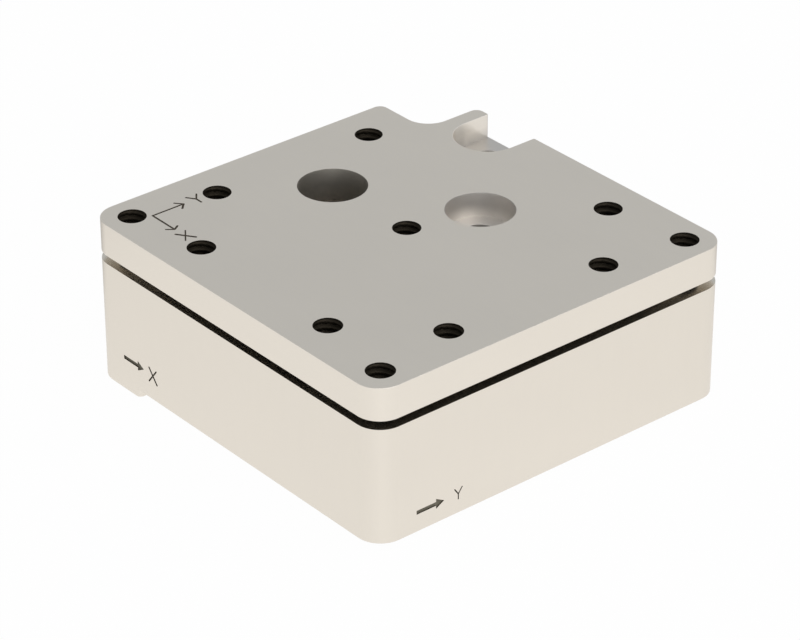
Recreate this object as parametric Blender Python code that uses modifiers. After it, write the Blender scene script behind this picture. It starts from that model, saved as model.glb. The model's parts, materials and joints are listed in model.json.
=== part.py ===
"""A two-axis piezo scanner stage: a moving top plate over a square base, 25 mm on a side.

The base stands on Z = 0 with its middle at the origin. X and Y are the two scan directions.
Under the top plate a platform slides along Y on thin leaves inside a ring, and the ring slides
along X on thin leaves inside the base. Each direction has a piezo stack that pushes a lever with
a notch hinge, and the lever multiplies the stack's few micrometres into the travel.
"""

import math

import bmesh
import bpy
from mathutils import Matrix, Vector

MM = 0.001

# Overall sizes
STAGE_SIDE = 25.0 * MM
CORNER_RADIUS = 1.5 * MM
FOOT_HEIGHT = 0.5 * MM
BODY_HEIGHT = 7.0 * MM
MOTION_GAP = 0.5 * MM
PLATE_THICKNESS = 2.0 * MM
EDGE_BREAK = 0.03 * MM

# Clearances
SEAT_GAP = 0.02 * MM
THREAD_CLEARANCE = 0.05 * MM
COVER_CLEARANCE = 0.1 * MM
CUT_PAST = 0.4 * MM
WELD_DEPTH = 0.2 * MM

# Top plate
TAP_RADIUS = 0.8 * MM
CORNER_TAP_INSET = 1.7 * MM
SIDE_TAP_INSET = 2.5 * MM
SIDE_TAP_OFFSET = 5.5 * MM
ACCESS_RADIUS = 2.0 * MM
ACCESS_INSET = 6.0 * MM
COUNTERBORE_RADIUS = 2.0 * MM
COUNTERBORE_DEPTH = 1.5 * MM
THROUGH_RADIUS = 1.0 * MM
COUNTERBORE_SIDE_INSET = 11.5 * MM
COUNTERBORE_REAR_INSET = 8.0 * MM
SLOT_SIDE_INSET = 7.0 * MM
SLOT_CENTRE_INSET = 1.8 * MM
RECESS_SIDE = 4.0 * MM
RECESS_OUTER_RADIUS = 0.5 * MM

# Base
FRAME_WALL = 2.1 * MM
CAVITY_RADIUS = 0.6 * MM
COVER_THICKNESS = 1.2 * MM
COVER_RIM = 1.4 * MM
COVER_RADIUS = 0.8 * MM
FOOT_LENGTH = 4.1 * MM
FOOT_END_RADIUS = 0.3 * MM
BOSS_SIDE = 2.2 * MM
COVER_SCREW_INSET = 1.05 * MM

# Flexure tier
FLEXURE_HEIGHT = 3.0 * MM
TIER_GAP = 0.3 * MM
X_CHANNEL = 1.3 * MM
RING_Y_CLEARANCE = 0.5 * MM
RING_BEAM_X = 1.5 * MM
RING_BEAM_Y = 1.6 * MM
RING_CORNER_RADIUS = 0.6 * MM
PLATFORM_X_CLEARANCE = 0.5 * MM
Y_CHANNEL = 1.2 * MM
LUG_HALF = 1.5 * MM
LUG_REACH = 0.35 * MM
LEAF_THICKNESS = 0.25 * MM
LEAF_END_THICKNESS = 0.7 * MM
LEAF_END_LENGTH = 0.8 * MM
LEAF_FILLET = 0.2 * MM
LEAF_SIDE_GAP = 0.2 * MM
FRAME_PAD_LENGTH = 1.5 * MM
RING_PAD_LENGTH = 1.3 * MM
PLATFORM_PAD_GAP = 0.15 * MM
WINDOW_RADIUS = 2.1 * MM
SEAT_PAD_RADIUS = 1.4 * MM

# Drives: a stack along the push direction, and a lever across it
STACK_END_ROOM = 17.0 * MM
PIEZO_SIDE = 2.0 * MM
CAP_THICKNESS = 0.4 * MM
BALL_RADIUS = 0.4 * MM
BLOCK_THICKNESS = 1.15 * MM
BLOCK_GAP = 0.1 * MM
BLOCK_MARGIN = 0.1 * MM
LEVER_WIDTH = 1.4 * MM
LEVER_SIDE_GAP = 0.25 * MM
LEVER_INPUT_ARM = 1.8 * MM
LEVER_END_ROOM = 13.8 * MM
LEVER_TIP_HALF = 0.8 * MM
NOTCH_RADIUS = 0.45 * MM
NECK_THICKNESS = 0.3 * MM
X_PIVOT_INSET = 1.4 * MM
Y_PIVOT_INSET = 1.1 * MM
X_LUG_LENGTH = 1.72 * MM
Y_LUG_LENGTH = 1.6 * MM
Y_LUG_INSET = 0.72 * MM
DRIVE_FLOOR_GAP = 0.3 * MM

# Fasteners
PLATE_SCREW_RADIUS = 1.0 * MM
PLATE_SCREW_HEAD_RADIUS = 1.9 * MM
PLATE_SCREW_RIM = 0.2 * MM
PLATE_SCREW_BITE = 1.3 * MM
PLATE_SCREW_INSET = 1.9 * MM
SCREW_HOLE_CLEARANCE = 0.1 * MM
PIN_RADIUS = 0.75 * MM
PIN_BITE = 1.2 * MM
PIN_LENGTH = 3.2 * MM
PIN_CHAMFER = 0.1 * MM
PIN_INSET = 1.9 * MM
COVER_SCREW_RADIUS = 0.8 * MM
COVER_SCREW_HEAD_RADIUS = 1.45 * MM
COVER_SCREW_LENGTH = 3.4 * MM
COVER_SCREW_RIM = 0.15 * MM
PRELOAD_SCREW_RADIUS = 0.8 * MM
SOCKET_DEPTH = 0.5 * MM
SOCKET_SHARE = 0.55

# Leads
BOARD_LENGTH = 5.0 * MM
BOARD_WIDTH = 2.4 * MM
BOARD_THICKNESS = 0.6 * MM
BOARD_INSET = 0.5 * MM
BOARD_X = -1.0 * MM
TERMINAL_COUNT = 4
TERMINAL_PITCH = 1.2 * MM
TERMINAL_RADIUS = 0.25 * MM
TERMINAL_LENGTH = 1.9 * MM
GROMMET_RADIUS = 1.1 * MM
GROMMET_BORE = 0.55 * MM
GROMMET_LIP = 0.35 * MM
GROMMET_FLANGE = 0.4 * MM
GROMMET_FLOOR_GAP = 0.2 * MM

# How large an empty is drawn
EMPTY_SIZE = 2.0 * MM

# Facets
LARGE_SIDES = 48
BORE_SIDES = 32
TAP_SIDES = 24
SMALL_SIDES = 16
PIN_SIDES = 12
SOCKET_SIDES = 6
BEVEL_STEPS = 2
BEVEL_ANGLE = math.radians(60)
CORNER_STEPS = 8
BALL_RINGS = 10

# Levels and half widths that follow from the sizes above
HALF = STAGE_SIDE / 2
BODY_BOTTOM = FOOT_HEIGHT
BODY_TOP = BODY_BOTTOM + BODY_HEIGHT
PLATE_BOTTOM = BODY_TOP + MOTION_GAP
PLATE_TOP = PLATE_BOTTOM + PLATE_THICKNESS
CAVITY_HALF = HALF - FRAME_WALL
RECESS_HALF = HALF - COVER_RIM
FLEXURE_BOTTOM = BODY_TOP - FLEXURE_HEIGHT
DRIVE_TOP = FLEXURE_BOTTOM - TIER_GAP
DRIVE_BOTTOM = COVER_THICKNESS + DRIVE_FLOOR_GAP
DRIVE_MIDDLE = (DRIVE_TOP + DRIVE_BOTTOM) / 2
LEVER_HEIGHT = DRIVE_TOP - DRIVE_BOTTOM - 2 * LEVER_SIDE_GAP
LEAD_HEIGHT = COVER_THICKNESS + GROMMET_FLOOR_GAP + GROMMET_LIP + GROMMET_RADIUS
RING_HALF_X = CAVITY_HALF - X_CHANNEL
RING_HALF_Y = CAVITY_HALF - RING_Y_CLEARANCE
RING_INNER_X = RING_HALF_X - RING_BEAM_X
RING_INNER_Y = RING_HALF_Y - RING_BEAM_Y
PLATFORM_HALF_X = RING_INNER_X - PLATFORM_X_CLEARANCE
PLATFORM_HALF_Y = RING_INNER_Y - Y_CHANNEL
X_LEAF_LINE = RING_HALF_X + X_CHANNEL / 2
Y_LEAF_LINE = PLATFORM_HALF_Y + Y_CHANNEL / 2
FRAME_PAD_FACE = CAVITY_HALF - FRAME_PAD_LENGTH
RING_PAD_FACE = RING_INNER_X - RING_PAD_LENGTH
COVER_SCREW_PLACE = CAVITY_HALF - COVER_SCREW_INSET
LEAF_HEIGHT = FLEXURE_HEIGHT - 2 * LEAF_SIDE_GAP
FLEXURE_MIDDLE = FLEXURE_BOTTOM + FLEXURE_HEIGHT / 2
ACCESS_PLACE = (ACCESS_INSET - HALF, 0.0)
COUNTERBORE_PLACE = (HALF - COUNTERBORE_SIDE_INSET, HALF - COUNTERBORE_REAR_INSET)
SLOT_PLACE = (SLOT_SIDE_INSET - HALF, HALF - SLOT_CENTRE_INSET)
PLATE_SCREW_PLACE = PLATFORM_HALF_X - PLATE_SCREW_INSET
PIN_PLACE = PLATFORM_HALF_X - PIN_INSET

# A stack gets the length, and a lever the reach, that the stage's side leaves beside the other drive
PIEZO_LENGTH = STAGE_SIDE - STACK_END_ROOM
LEVER_OUTPUT_ARM = STAGE_SIDE - LEVER_END_ROOM


class Drive:
    """Where one stack and its lever lie. Along is the push direction and across is the lever's."""

    def __init__(self, name, swap, lug_face, pivot):
        """From the lug that is pushed, back through lever, ball and stack to the block behind them."""
        self.name = name
        self.swap = swap
        self.lug_face = lug_face
        self.pivot = pivot
        self.line = pivot + LEVER_INPUT_ARM
        self.output = pivot + LEVER_OUTPUT_ARM
        lever = lug_face - SEAT_GAP
        self.lever = (lever - LEVER_WIDTH, lever)
        self.lever_middle = lever - LEVER_WIDTH / 2
        self.ball = self.lever[0] - SEAT_GAP - BALL_RADIUS
        front = self.ball - BALL_RADIUS - SEAT_GAP
        self.front_cap = (front - CAP_THICKNESS, front)
        stack_end = self.front_cap[0] - SEAT_GAP
        self.stack = (stack_end - PIEZO_LENGTH, stack_end)
        rear = self.stack[0] - SEAT_GAP
        self.rear_cap = (rear - CAP_THICKNESS, rear)
        block_face = self.rear_cap[0] - BLOCK_GAP
        self.block = (block_face - BLOCK_THICKNESS, block_face)

    def point(self, along, across):
        return (across, along) if self.swap else (along, across)

    def box(self, along, across):
        """The low and high corners, in X and Y, of a span along and a span across."""
        low = self.point(along[0], across[0])
        high = self.point(along[1], across[1])
        return low, high


X_DRIVE = Drive("x", False, RING_HALF_X - X_LUG_LENGTH, X_PIVOT_INSET - CAVITY_HALF)
Y_DRIVE = Drive("y", True, PLATFORM_HALF_Y - Y_LUG_INSET - Y_LUG_LENGTH, Y_PIVOT_INSET - RING_HALF_X)


# Scene and materials


def clear_scene():
    for old in list(bpy.data.objects):
        bpy.data.objects.remove(old, do_unlink=True)


def new_collection(name):
    collection = bpy.data.collections.new(name)
    bpy.context.scene.collection.children.link(collection)
    return collection


def material(name, colour, roughness, metallic):
    made = bpy.data.materials.new(name)
    made.use_nodes = True
    shader = made.node_tree.nodes["Principled BSDF"]
    shader.inputs["Base Color"].default_value = (*colour, 1.0)
    shader.inputs["Roughness"].default_value = roughness
    shader.inputs["Metallic"].default_value = metallic
    return made


def body_metal():
    return material("satin_metal", (0.72, 0.69, 0.63), 0.42, 1.0)


def plate_metal():
    return material("plate_metal", (0.62, 0.60, 0.55), 0.45, 1.0)


def mechanism_metal():
    return material("flexure_steel", (0.50, 0.50, 0.49), 0.38, 1.0)


def screw_steel():
    return material("screw_steel", (0.34, 0.34, 0.35), 0.32, 1.0)


def ball_steel():
    return material("ball_steel", (0.62, 0.62, 0.63), 0.12, 1.0)


def piezo_ceramic():
    return material("piezo_ceramic", (0.14, 0.10, 0.07), 0.55, 0.0)


def cap_ceramic():
    return material("cap_ceramic", (0.82, 0.80, 0.74), 0.35, 0.0)


def board_laminate():
    return material("board_laminate", (0.05, 0.22, 0.10), 0.5, 0.0)


def terminal_brass():
    return material("terminal_brass", (0.80, 0.62, 0.28), 0.3, 1.0)


def grommet_rubber():
    return material("grommet_rubber", (0.03, 0.03, 0.03), 0.8, 0.0)


# Shapes


def arc(centre, radius, start, end, steps):
    """Points on an arc from one angle to another, both ends included."""
    angles = [start + (end - start) * i / steps for i in range(steps + 1)]
    return [(centre[0] + radius * math.cos(a), centre[1] + radius * math.sin(a)) for a in angles]


def rounded(corners):
    """An outline whose corners, given as x, y and radius, are rounded, whichever way they turn."""
    points = []
    count = len(corners)
    for i, (x, y, radius) in enumerate(corners):
        here = Vector((x, y))
        if radius <= 0:
            points.append((x, y))
            continue
        back = (Vector(corners[i - 1][:2]) - here).normalized()
        ahead = (Vector(corners[(i + 1) % count][:2]) - here).normalized()
        half_angle = back.angle(ahead) / 2
        reach = radius / math.tan(half_angle)
        centre = here + (back + ahead).normalized() * radius / math.sin(half_angle)
        first = here + back * reach - centre
        turn = math.pi - 2 * half_angle
        if back.cross(ahead) > 0:
            turn = -turn
        start = math.atan2(first.y, first.x)
        points += arc(centre, radius, start, start + turn, CORNER_STEPS)
    return points


def rectangle(half_x, half_y, radius):
    """A rounded rectangle about the middle."""
    signs = ((-1, -1), (1, -1), (1, 1), (-1, 1))
    return rounded([(sx * half_x, sy * half_y, radius) for sx, sy in signs])


def cross_outline(half, notch_x, notch_y, radius):
    """A square whose four corners are stepped in, as an opening between corner pads."""
    quarter = ((notch_x, half), (notch_x, notch_y), (half, notch_y))
    corners = []
    for sx, sy in ((1, 1), (1, -1), (-1, -1), (-1, 1)):
        order = quarter if sx * sy > 0 else quarter[::-1]
        corners += [(sx * x, sy * y, radius) for x, y in order]
    return rounded(corners)


def is_level(face):
    heights = [vert.co.z for vert in face.verts]
    return max(heights) == min(heights)


def outline_mesh(points, height):
    """A flat outline given a height about its own middle, as a closed mesh with one face at each end."""
    curve = bpy.data.curves.new("outline", "CURVE")
    curve.dimensions = "2D"
    curve.fill_mode = "BOTH"
    curve.extrude = height / 2
    spline = curve.splines.new("POLY")
    spline.points.add(len(points) - 1)
    for point, (x, y) in zip(spline.points, points):
        point.co = (x, y, 0.0, 1.0)
    spline.use_cyclic_u = True
    guide = bpy.data.objects.new("outline", curve)
    bpy.context.scene.collection.objects.link(guide)
    graph = bpy.context.evaluated_depsgraph_get()
    mesh = bpy.data.meshes.new_from_object(guide.evaluated_get(graph))
    bpy.data.objects.remove(guide, do_unlink=True)
    bpy.data.curves.remove(curve)
    shape = bmesh.new()
    shape.from_mesh(mesh)
    bpy.data.meshes.remove(mesh)
    bmesh.ops.remove_doubles(shape, verts=shape.verts, dist=1e-7)
    caps = [face for face in shape.faces if is_level(face)]
    bmesh.ops.delete(shape, geom=caps, context="FACES")
    rims = [edge for edge in shape.edges if edge.is_boundary]
    bmesh.ops.holes_fill(shape, edges=rims, sides=0)
    bmesh.ops.recalc_face_normals(shape, faces=shape.faces)
    return shape


def box_mesh(size):
    shape = bmesh.new()
    bmesh.ops.create_cube(shape, size=1.0, matrix=Matrix.Diagonal((*size, 1.0)))
    return shape


def round_mesh(places, radius, height, end_radius=None, sides=BORE_SIDES):
    """Upright cylinders or cones about the middle height, one at each place."""
    shape = bmesh.new()
    far = radius if end_radius is None else end_radius
    for x, y in places:
        bmesh.ops.create_cone(
            shape,
            cap_ends=True,
            segments=sides,
            radius1=radius,
            radius2=far,
            depth=height,
            matrix=Matrix.Translation((x, y, 0.0)),
        )
    return shape


def profile_mesh(points):
    """An open profile of radius and height, ready to be turned about its own upright axis."""
    shape = bmesh.new()
    verts = [shape.verts.new((x, 0.0, z)) for x, z in points]
    for first, second in zip(verts, verts[1:]):
        shape.edges.new((first, second))
    return shape


def world_place(holder):
    place = Vector((0.0, 0.0, 0.0))
    while holder:
        place += holder.location
        holder = holder.parent
    return place


def add_object(name, shape, place, collection):
    mesh = bpy.data.meshes.new(name)
    shape.to_mesh(mesh)
    shape.free()
    made = bpy.data.objects.new(name, mesh)
    made.location = place
    collection.objects.link(made)
    return made


def add_part(name, shape, place, finish, holder):
    made = add_object(name, shape, Vector(place) - world_place(holder), PARTS)
    made.parent = holder
    made.data.materials.append(finish)
    return made


def add_cutter(name, shape, place):
    made = add_object(name, shape, place, CUTTERS)
    made.hide_render = True
    made.display_type = "WIRE"
    return made


def combine(target, other, operation):
    step = target.modifiers.new(other.name, "BOOLEAN")
    step.operation = operation
    step.solver = "EXACT"
    step.object = other


def cut(target, name, shape, place):
    combine(target, add_cutter(name, shape, place), "DIFFERENCE")


def join(target, name, shape, place):
    combine(target, add_cutter(name, shape, place), "UNION")


def cut_round(target, name, places, radius, low, high, end_radius=None, sides=BORE_SIDES):
    """Round holes from one height to another, with another radius at the top if it is given."""
    shape = round_mesh(places, radius, high - low, end_radius, sides)
    cut(target, name, shape, (0.0, 0.0, (low + high) / 2))


def span_box(low, high):
    """The mesh and the place of a box between two corners."""
    size = [h - l for l, h in zip(low, high)]
    middle = [(l + h) / 2 for l, h in zip(low, high)]
    return box_mesh(size), middle


def join_box(target, name, low, high):
    join(target, name, *span_box(low, high))


def turn_profile(target, sides):
    """Turns a profile into a closed round piece."""
    step = target.modifiers.new("turn", "SCREW")
    step.angle = math.tau
    step.steps = sides
    step.render_steps = sides
    step.use_merge_vertices = True
    step.merge_threshold = 1e-6


def break_edges(target, width):
    step = target.modifiers.new("edge_break", "BEVEL")
    step.width = width
    step.segments = BEVEL_STEPS
    step.limit_method = "ANGLE"
    step.angle_limit = BEVEL_ANGLE


def square_places(x, y):
    return [(sx * x, sy * y) for sx in (-1, 1) for sy in (-1, 1)]


# Top plate


def top_plate_outline():
    """A rounded square with a square recess out of its left rear corner."""
    recess = HALF - RECESS_SIDE
    return rounded(
        [
            (-HALF, -HALF, CORNER_RADIUS),
            (HALF, -HALF, CORNER_RADIUS),
            (HALF, HALF, CORNER_RADIUS),
            (-recess, HALF, RECESS_OUTER_RADIUS),
            (-recess, recess, CORNER_RADIUS),
            (-HALF, recess, RECESS_OUTER_RADIUS),
        ]
    )


def tapped_places():
    """Three corners, eight places near the sides less the one that the slot takes, and the middle."""
    corner = HALF - CORNER_TAP_INSET
    side = HALF - SIDE_TAP_INSET
    corners = [(-corner, -corner), (corner, -corner), (corner, corner)]
    sides = square_places(side, SIDE_TAP_OFFSET) + square_places(SIDE_TAP_OFFSET, side)
    sides.remove((-SIDE_TAP_OFFSET, side))
    return corners + sides + [(0.0, 0.0)]


def slot_mesh(height):
    """The opening round the rear screw place: half a circle, and straight sides out past the edge."""
    points = arc(SLOT_PLACE, COUNTERBORE_RADIUS, math.pi, math.tau, BORE_SIDES // 2)
    end_y = HALF + CUT_PAST
    middle_x = SLOT_PLACE[0]
    points += [(middle_x + COUNTERBORE_RADIUS, end_y), (middle_x - COUNTERBORE_RADIUS, end_y)]
    return outline_mesh(points, height)


def make_top_plate(finish, holder):
    middle = (PLATE_BOTTOM + PLATE_TOP) / 2
    shape = outline_mesh(top_plate_outline(), PLATE_THICKNESS)
    plate = add_part("top_plate", shape, (0.0, 0.0, middle), finish, holder)
    break_edges(plate, EDGE_BREAK)
    low = PLATE_BOTTOM - CUT_PAST
    high = PLATE_TOP + CUT_PAST
    cut_round(plate, "tapped_holes", tapped_places(), TAP_RADIUS, low, high, sides=TAP_SIDES)
    cut_round(plate, "access_hole", [ACCESS_PLACE], ACCESS_RADIUS, low, high, sides=LARGE_SIDES)
    floor = PLATE_TOP - COUNTERBORE_DEPTH
    cut_round(plate, "counterbore", [COUNTERBORE_PLACE], COUNTERBORE_RADIUS, floor, high, sides=LARGE_SIDES)
    slot_height = high - floor
    cut(plate, "rear_slot", slot_mesh(slot_height), (0.0, 0.0, floor + slot_height / 2))
    cut_round(plate, "screw_holes", [COUNTERBORE_PLACE, SLOT_PLACE], THROUGH_RADIUS, low, floor + CUT_PAST)
    bite = PLATE_BOTTOM + PLATE_SCREW_BITE + THREAD_CLEARANCE
    radius = PLATE_SCREW_RADIUS + THREAD_CLEARANCE
    cut_round(plate, "plate_screw_holes", plate_screw_places(), radius, low, bite, sides=SMALL_SIDES)
    bite = PLATE_BOTTOM + PIN_BITE + THREAD_CLEARANCE
    radius = PIN_RADIUS + SEAT_GAP
    cut_round(plate, "plate_pin_holes", pin_places(), radius, low, bite, sides=SMALL_SIDES)


# Base


def foot_relief_outline():
    """What is milled away under the base: all of its underside but the foot at the left corner."""
    end = FOOT_LENGTH - HALF
    inner = FOOT_END_RADIUS - HALF
    past = HALF + CUT_PAST
    points = arc((end - FOOT_END_RADIUS, inner), FOOT_END_RADIUS, -math.pi / 2, 0.0, CORNER_STEPS)
    points.append((end, end))
    points += arc((inner, end - FOOT_END_RADIUS), FOOT_END_RADIUS, math.pi / 2, math.pi, CORNER_STEPS)
    points += [(-past, end - FOOT_END_RADIUS), (-past, past), (past, past), (past, -past)]
    points.append((end - FOOT_END_RADIUS, -past))
    return points


def make_base_frame(finish, holder):
    shape = outline_mesh(rectangle(HALF, HALF, CORNER_RADIUS), BODY_TOP)
    frame = add_part("base_frame", shape, (0.0, 0.0, BODY_TOP / 2), finish, holder)
    relief_height = FOOT_HEIGHT + CUT_PAST
    relief_middle = FOOT_HEIGHT - relief_height / 2
    cut(frame, "foot_relief", outline_mesh(foot_relief_outline(), relief_height), (0.0, 0.0, relief_middle))
    break_edges(frame, EDGE_BREAK)
    upper = cross_outline(CAVITY_HALF, X_LEAF_LINE - LEAF_END_THICKNESS / 2, FRAME_PAD_FACE, LEAF_FILLET)
    upper_height = FLEXURE_HEIGHT + TIER_GAP + CUT_PAST
    upper_middle = BODY_TOP + CUT_PAST - upper_height / 2
    cut(frame, "flexure_cavity", outline_mesh(upper, upper_height), (0.0, 0.0, upper_middle))
    boss = CAVITY_HALF - BOSS_SIDE
    lower = cross_outline(CAVITY_HALF, boss, boss, CAVITY_RADIUS)
    lower_height = DRIVE_TOP + CUT_PAST / 2 - COVER_THICKNESS / 2
    lower_middle = COVER_THICKNESS / 2 + lower_height / 2
    cut(frame, "drive_cavity", outline_mesh(lower, lower_height), (0.0, 0.0, lower_middle))
    recess_height = COVER_THICKNESS + CUT_PAST
    recess = outline_mesh(rectangle(RECESS_HALF, RECESS_HALF, COVER_RADIUS), recess_height)
    cut(frame, "cover_recess", recess, (0.0, 0.0, COVER_THICKNESS - recess_height / 2))
    across = (-CAVITY_HALF - WELD_DEPTH, X_DRIVE.line + PIEZO_SIDE / 2 + BLOCK_MARGIN)
    low, high = X_DRIVE.box(X_DRIVE.block, across)
    join_box(frame, "x_block", (*low, DRIVE_BOTTOM), (*high, DRIVE_TOP))
    cut_preload_hole(frame, X_DRIVE)
    radius = COVER_SCREW_RADIUS + THREAD_CLEARANCE
    top = COVER_SCREW_LENGTH + THREAD_CLEARANCE + SEAT_GAP
    cut_round(frame, "cover_taps", cover_screw_places(), radius, COVER_THICKNESS / 2, top, sides=SMALL_SIDES)
    bore = round_mesh([(0.0, 0.0)], GROMMET_RADIUS + SEAT_GAP, FRAME_WALL + 2 * CUT_PAST)
    bmesh.ops.rotate(bore, verts=bore.verts, matrix=Matrix.Rotation(math.pi / 2, 3, "X"))
    cut(frame, "lead_bore", bore, (BOARD_X, HALF - FRAME_WALL / 2, LEAD_HEIGHT))


def cover_screw_places():
    return square_places(COVER_SCREW_PLACE, COVER_SCREW_PLACE)


def make_bottom_cover(finish, holder):
    half = RECESS_HALF - COVER_CLEARANCE
    height = COVER_THICKNESS - SEAT_GAP
    shape = outline_mesh(rectangle(half, half, COVER_RADIUS), height)
    cover = add_part("bottom_cover", shape, (0.0, 0.0, height / 2), finish, holder)
    break_edges(cover, EDGE_BREAK)
    places = cover_screw_places()
    radius = COVER_SCREW_RADIUS + SCREW_HOLE_CLEARANCE
    cut_round(cover, "cover_holes", places, radius, -CUT_PAST, COVER_THICKNESS + CUT_PAST, sides=SMALL_SIDES)
    head = COVER_SCREW_HEAD_RADIUS + SCREW_HOLE_CLEARANCE + CUT_PAST
    top = head - radius - CUT_PAST
    cut_round(cover, "cover_sinks", places, head, -CUT_PAST, top, radius, SMALL_SIDES)


# Flexure tier


def make_x_carriage(finish, holder):
    place = (0.0, 0.0, FLEXURE_MIDDLE)
    shape = outline_mesh(rectangle(RING_HALF_X, RING_HALF_Y, RING_CORNER_RADIUS), FLEXURE_HEIGHT)
    ring = add_part("x_carriage", shape, place, finish, holder)
    inner = rounded_ring_opening()
    cut(ring, "ring_opening", outline_mesh(inner, FLEXURE_HEIGHT + 2 * CUT_PAST), place)
    reach = X_LEAF_LINE + LUG_REACH
    for side, sign in (("left", -1), ("right", 1)):
        ends = sorted((sign * (RING_HALF_X - WELD_DEPTH), sign * reach))
        low = (ends[0], -LUG_HALF, FLEXURE_BOTTOM)
        high = (ends[1], LUG_HALF, BODY_TOP)
        join_box(ring, "ring_lug_" + side, low, high)
    low, high = X_DRIVE.box(
        (X_DRIVE.lug_face, RING_HALF_X),
        (X_DRIVE.output - LEVER_TIP_HALF, X_DRIVE.output + LEVER_TIP_HALF),
    )
    join_box(ring, "x_push_lug", (*low, DRIVE_BOTTOM), (*high, FLEXURE_BOTTOM + WELD_DEPTH))
    across = (-RING_HALF_X, Y_DRIVE.line + PIEZO_SIDE / 2 - BLOCK_MARGIN)
    low, high = Y_DRIVE.box(Y_DRIVE.block, across)
    join_box(ring, "y_block", (*low, DRIVE_BOTTOM), (*high, DRIVE_TOP))
    low, high = Y_DRIVE.box(Y_DRIVE.block, (-RING_HALF_X, -RING_INNER_X))
    join_box(ring, "y_block_post", (*low, DRIVE_MIDDLE), (*high, FLEXURE_BOTTOM + WELD_DEPTH))
    cut_preload_hole(ring, Y_DRIVE)
    low = FLEXURE_BOTTOM - CUT_PAST
    cut_round(ring, "ring_window", [ACCESS_PLACE], WINDOW_RADIUS, low, BODY_TOP + CUT_PAST)


def rounded_ring_opening():
    """The opening of the ring: full width beside the platform, with pads for the leaves beyond it."""
    pad_y = PLATFORM_HALF_Y + PLATFORM_PAD_GAP
    quarter = ((RING_PAD_FACE, RING_INNER_Y), (RING_PAD_FACE, pad_y), (RING_INNER_X, pad_y))
    corners = []
    for sx, sy in ((1, 1), (1, -1), (-1, -1), (-1, 1)):
        order = quarter if sx * sy > 0 else quarter[::-1]
        corners += [(sx * x, sy * y, LEAF_FILLET) for x, y in order]
    return rounded(corners)


def make_y_platform(finish, holder):
    place = (0.0, 0.0, FLEXURE_MIDDLE)
    shape = outline_mesh(rectangle(PLATFORM_HALF_X, PLATFORM_HALF_Y, LEAF_FILLET), FLEXURE_HEIGHT)
    platform = add_part("y_platform", shape, place, finish, holder)
    reach = Y_LEAF_LINE + LUG_REACH
    for side, sign in (("front", -1), ("rear", 1)):
        ends = sorted((sign * (PLATFORM_HALF_Y - WELD_DEPTH), sign * reach))
        low = (-LUG_HALF, ends[0], FLEXURE_BOTTOM)
        high = (LUG_HALF, ends[1], BODY_TOP)
        join_box(platform, "platform_lug_" + side, low, high)
    low, high = Y_DRIVE.box(
        (Y_DRIVE.lug_face, Y_DRIVE.lug_face + Y_LUG_LENGTH),
        (Y_DRIVE.output - LEVER_TIP_HALF, Y_DRIVE.output + LEVER_TIP_HALF),
    )
    join_box(platform, "y_push_lug", (*low, DRIVE_BOTTOM), (*high, FLEXURE_BOTTOM + WELD_DEPTH))
    pad_low = BODY_TOP - WELD_DEPTH
    pad_high = PLATE_BOTTOM - SEAT_GAP
    pads = round_mesh(plate_screw_places() + pin_places(), SEAT_PAD_RADIUS, pad_high - pad_low)
    join(platform, "seat_pads", pads, (0.0, 0.0, (pad_low + pad_high) / 2))
    high = BODY_TOP + CUT_PAST
    low = FLEXURE_BOTTOM - CUT_PAST
    cut_round(platform, "platform_window", [ACCESS_PLACE], WINDOW_RADIUS, low, high)
    past_pads = PLATE_BOTTOM + CUT_PAST
    radius = PLATE_SCREW_RADIUS + SCREW_HOLE_CLEARANCE
    cut_round(platform, "screw_passages", plate_screw_places(), radius, low, past_pads, sides=SMALL_SIDES)
    head = PLATE_SCREW_HEAD_RADIUS + SCREW_HOLE_CLEARANCE + CUT_PAST
    top = low + head - radius
    cut_round(platform, "screw_sinks", plate_screw_places(), head, low, top, radius, SMALL_SIDES)
    pin_low = PLATE_BOTTOM + PIN_BITE - PIN_LENGTH - THREAD_CLEARANCE
    radius = PIN_RADIUS + SEAT_GAP
    cut_round(platform, "pin_holes", pin_places(), radius, pin_low, past_pads, sides=SMALL_SIDES)
    cut_round(platform, "platform_tap", [COUNTERBORE_PLACE], TAP_RADIUS, low, high, sides=SMALL_SIDES)


def leaf_outline(length):
    """A leaf seen from above: two thick ends and a thin blade, filleted where they meet."""
    end = LEAF_END_THICKNESS / 2
    blade = LEAF_THICKNESS / 2
    shoulder = length / 2 - LEAF_END_LENGTH
    quarter = ((length / 2, end, 0.0), (shoulder, end, 0.0), (shoulder, blade, LEAF_FILLET))
    corners = []
    for sx, sy in ((1, 1), (-1, 1), (-1, -1), (1, -1)):
        order = quarter if sx * sy > 0 else quarter[::-1]
        corners += [(sx * x, sy * y, radius) for x, y, radius in order]
    return rounded(corners)


def make_leaf(name, start, end, line, upright, finish, holder):
    """A leaf from one distance to another along its own direction, on its line."""
    shape = outline_mesh(leaf_outline(abs(end - start)), LEAF_HEIGHT)
    if upright:
        bmesh.ops.rotate(shape, verts=shape.verts, matrix=Matrix.Rotation(math.pi / 2, 3, "Z"))
    middle = (start + end) / 2
    place = (line, middle) if upright else (middle, line)
    add_part(name, shape, (*place, FLEXURE_MIDDLE), finish, holder)


def make_leaves(finish, base, ring):
    first = LUG_HALF + SEAT_GAP
    numbers = ((1, -1, -1), (2, -1, 1), (3, 1, -1), (4, 1, 1))
    for number, side, end in numbers:
        last = FRAME_PAD_FACE - SEAT_GAP
        name = "x_leaf_" + str(number)
        make_leaf(name, end * first, end * last, side * X_LEAF_LINE, True, finish, base)
        last = RING_PAD_FACE - SEAT_GAP
        name = "y_leaf_" + str(number)
        make_leaf(name, end * first, end * last, side * Y_LEAF_LINE, False, finish, ring)


# Drives


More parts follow.
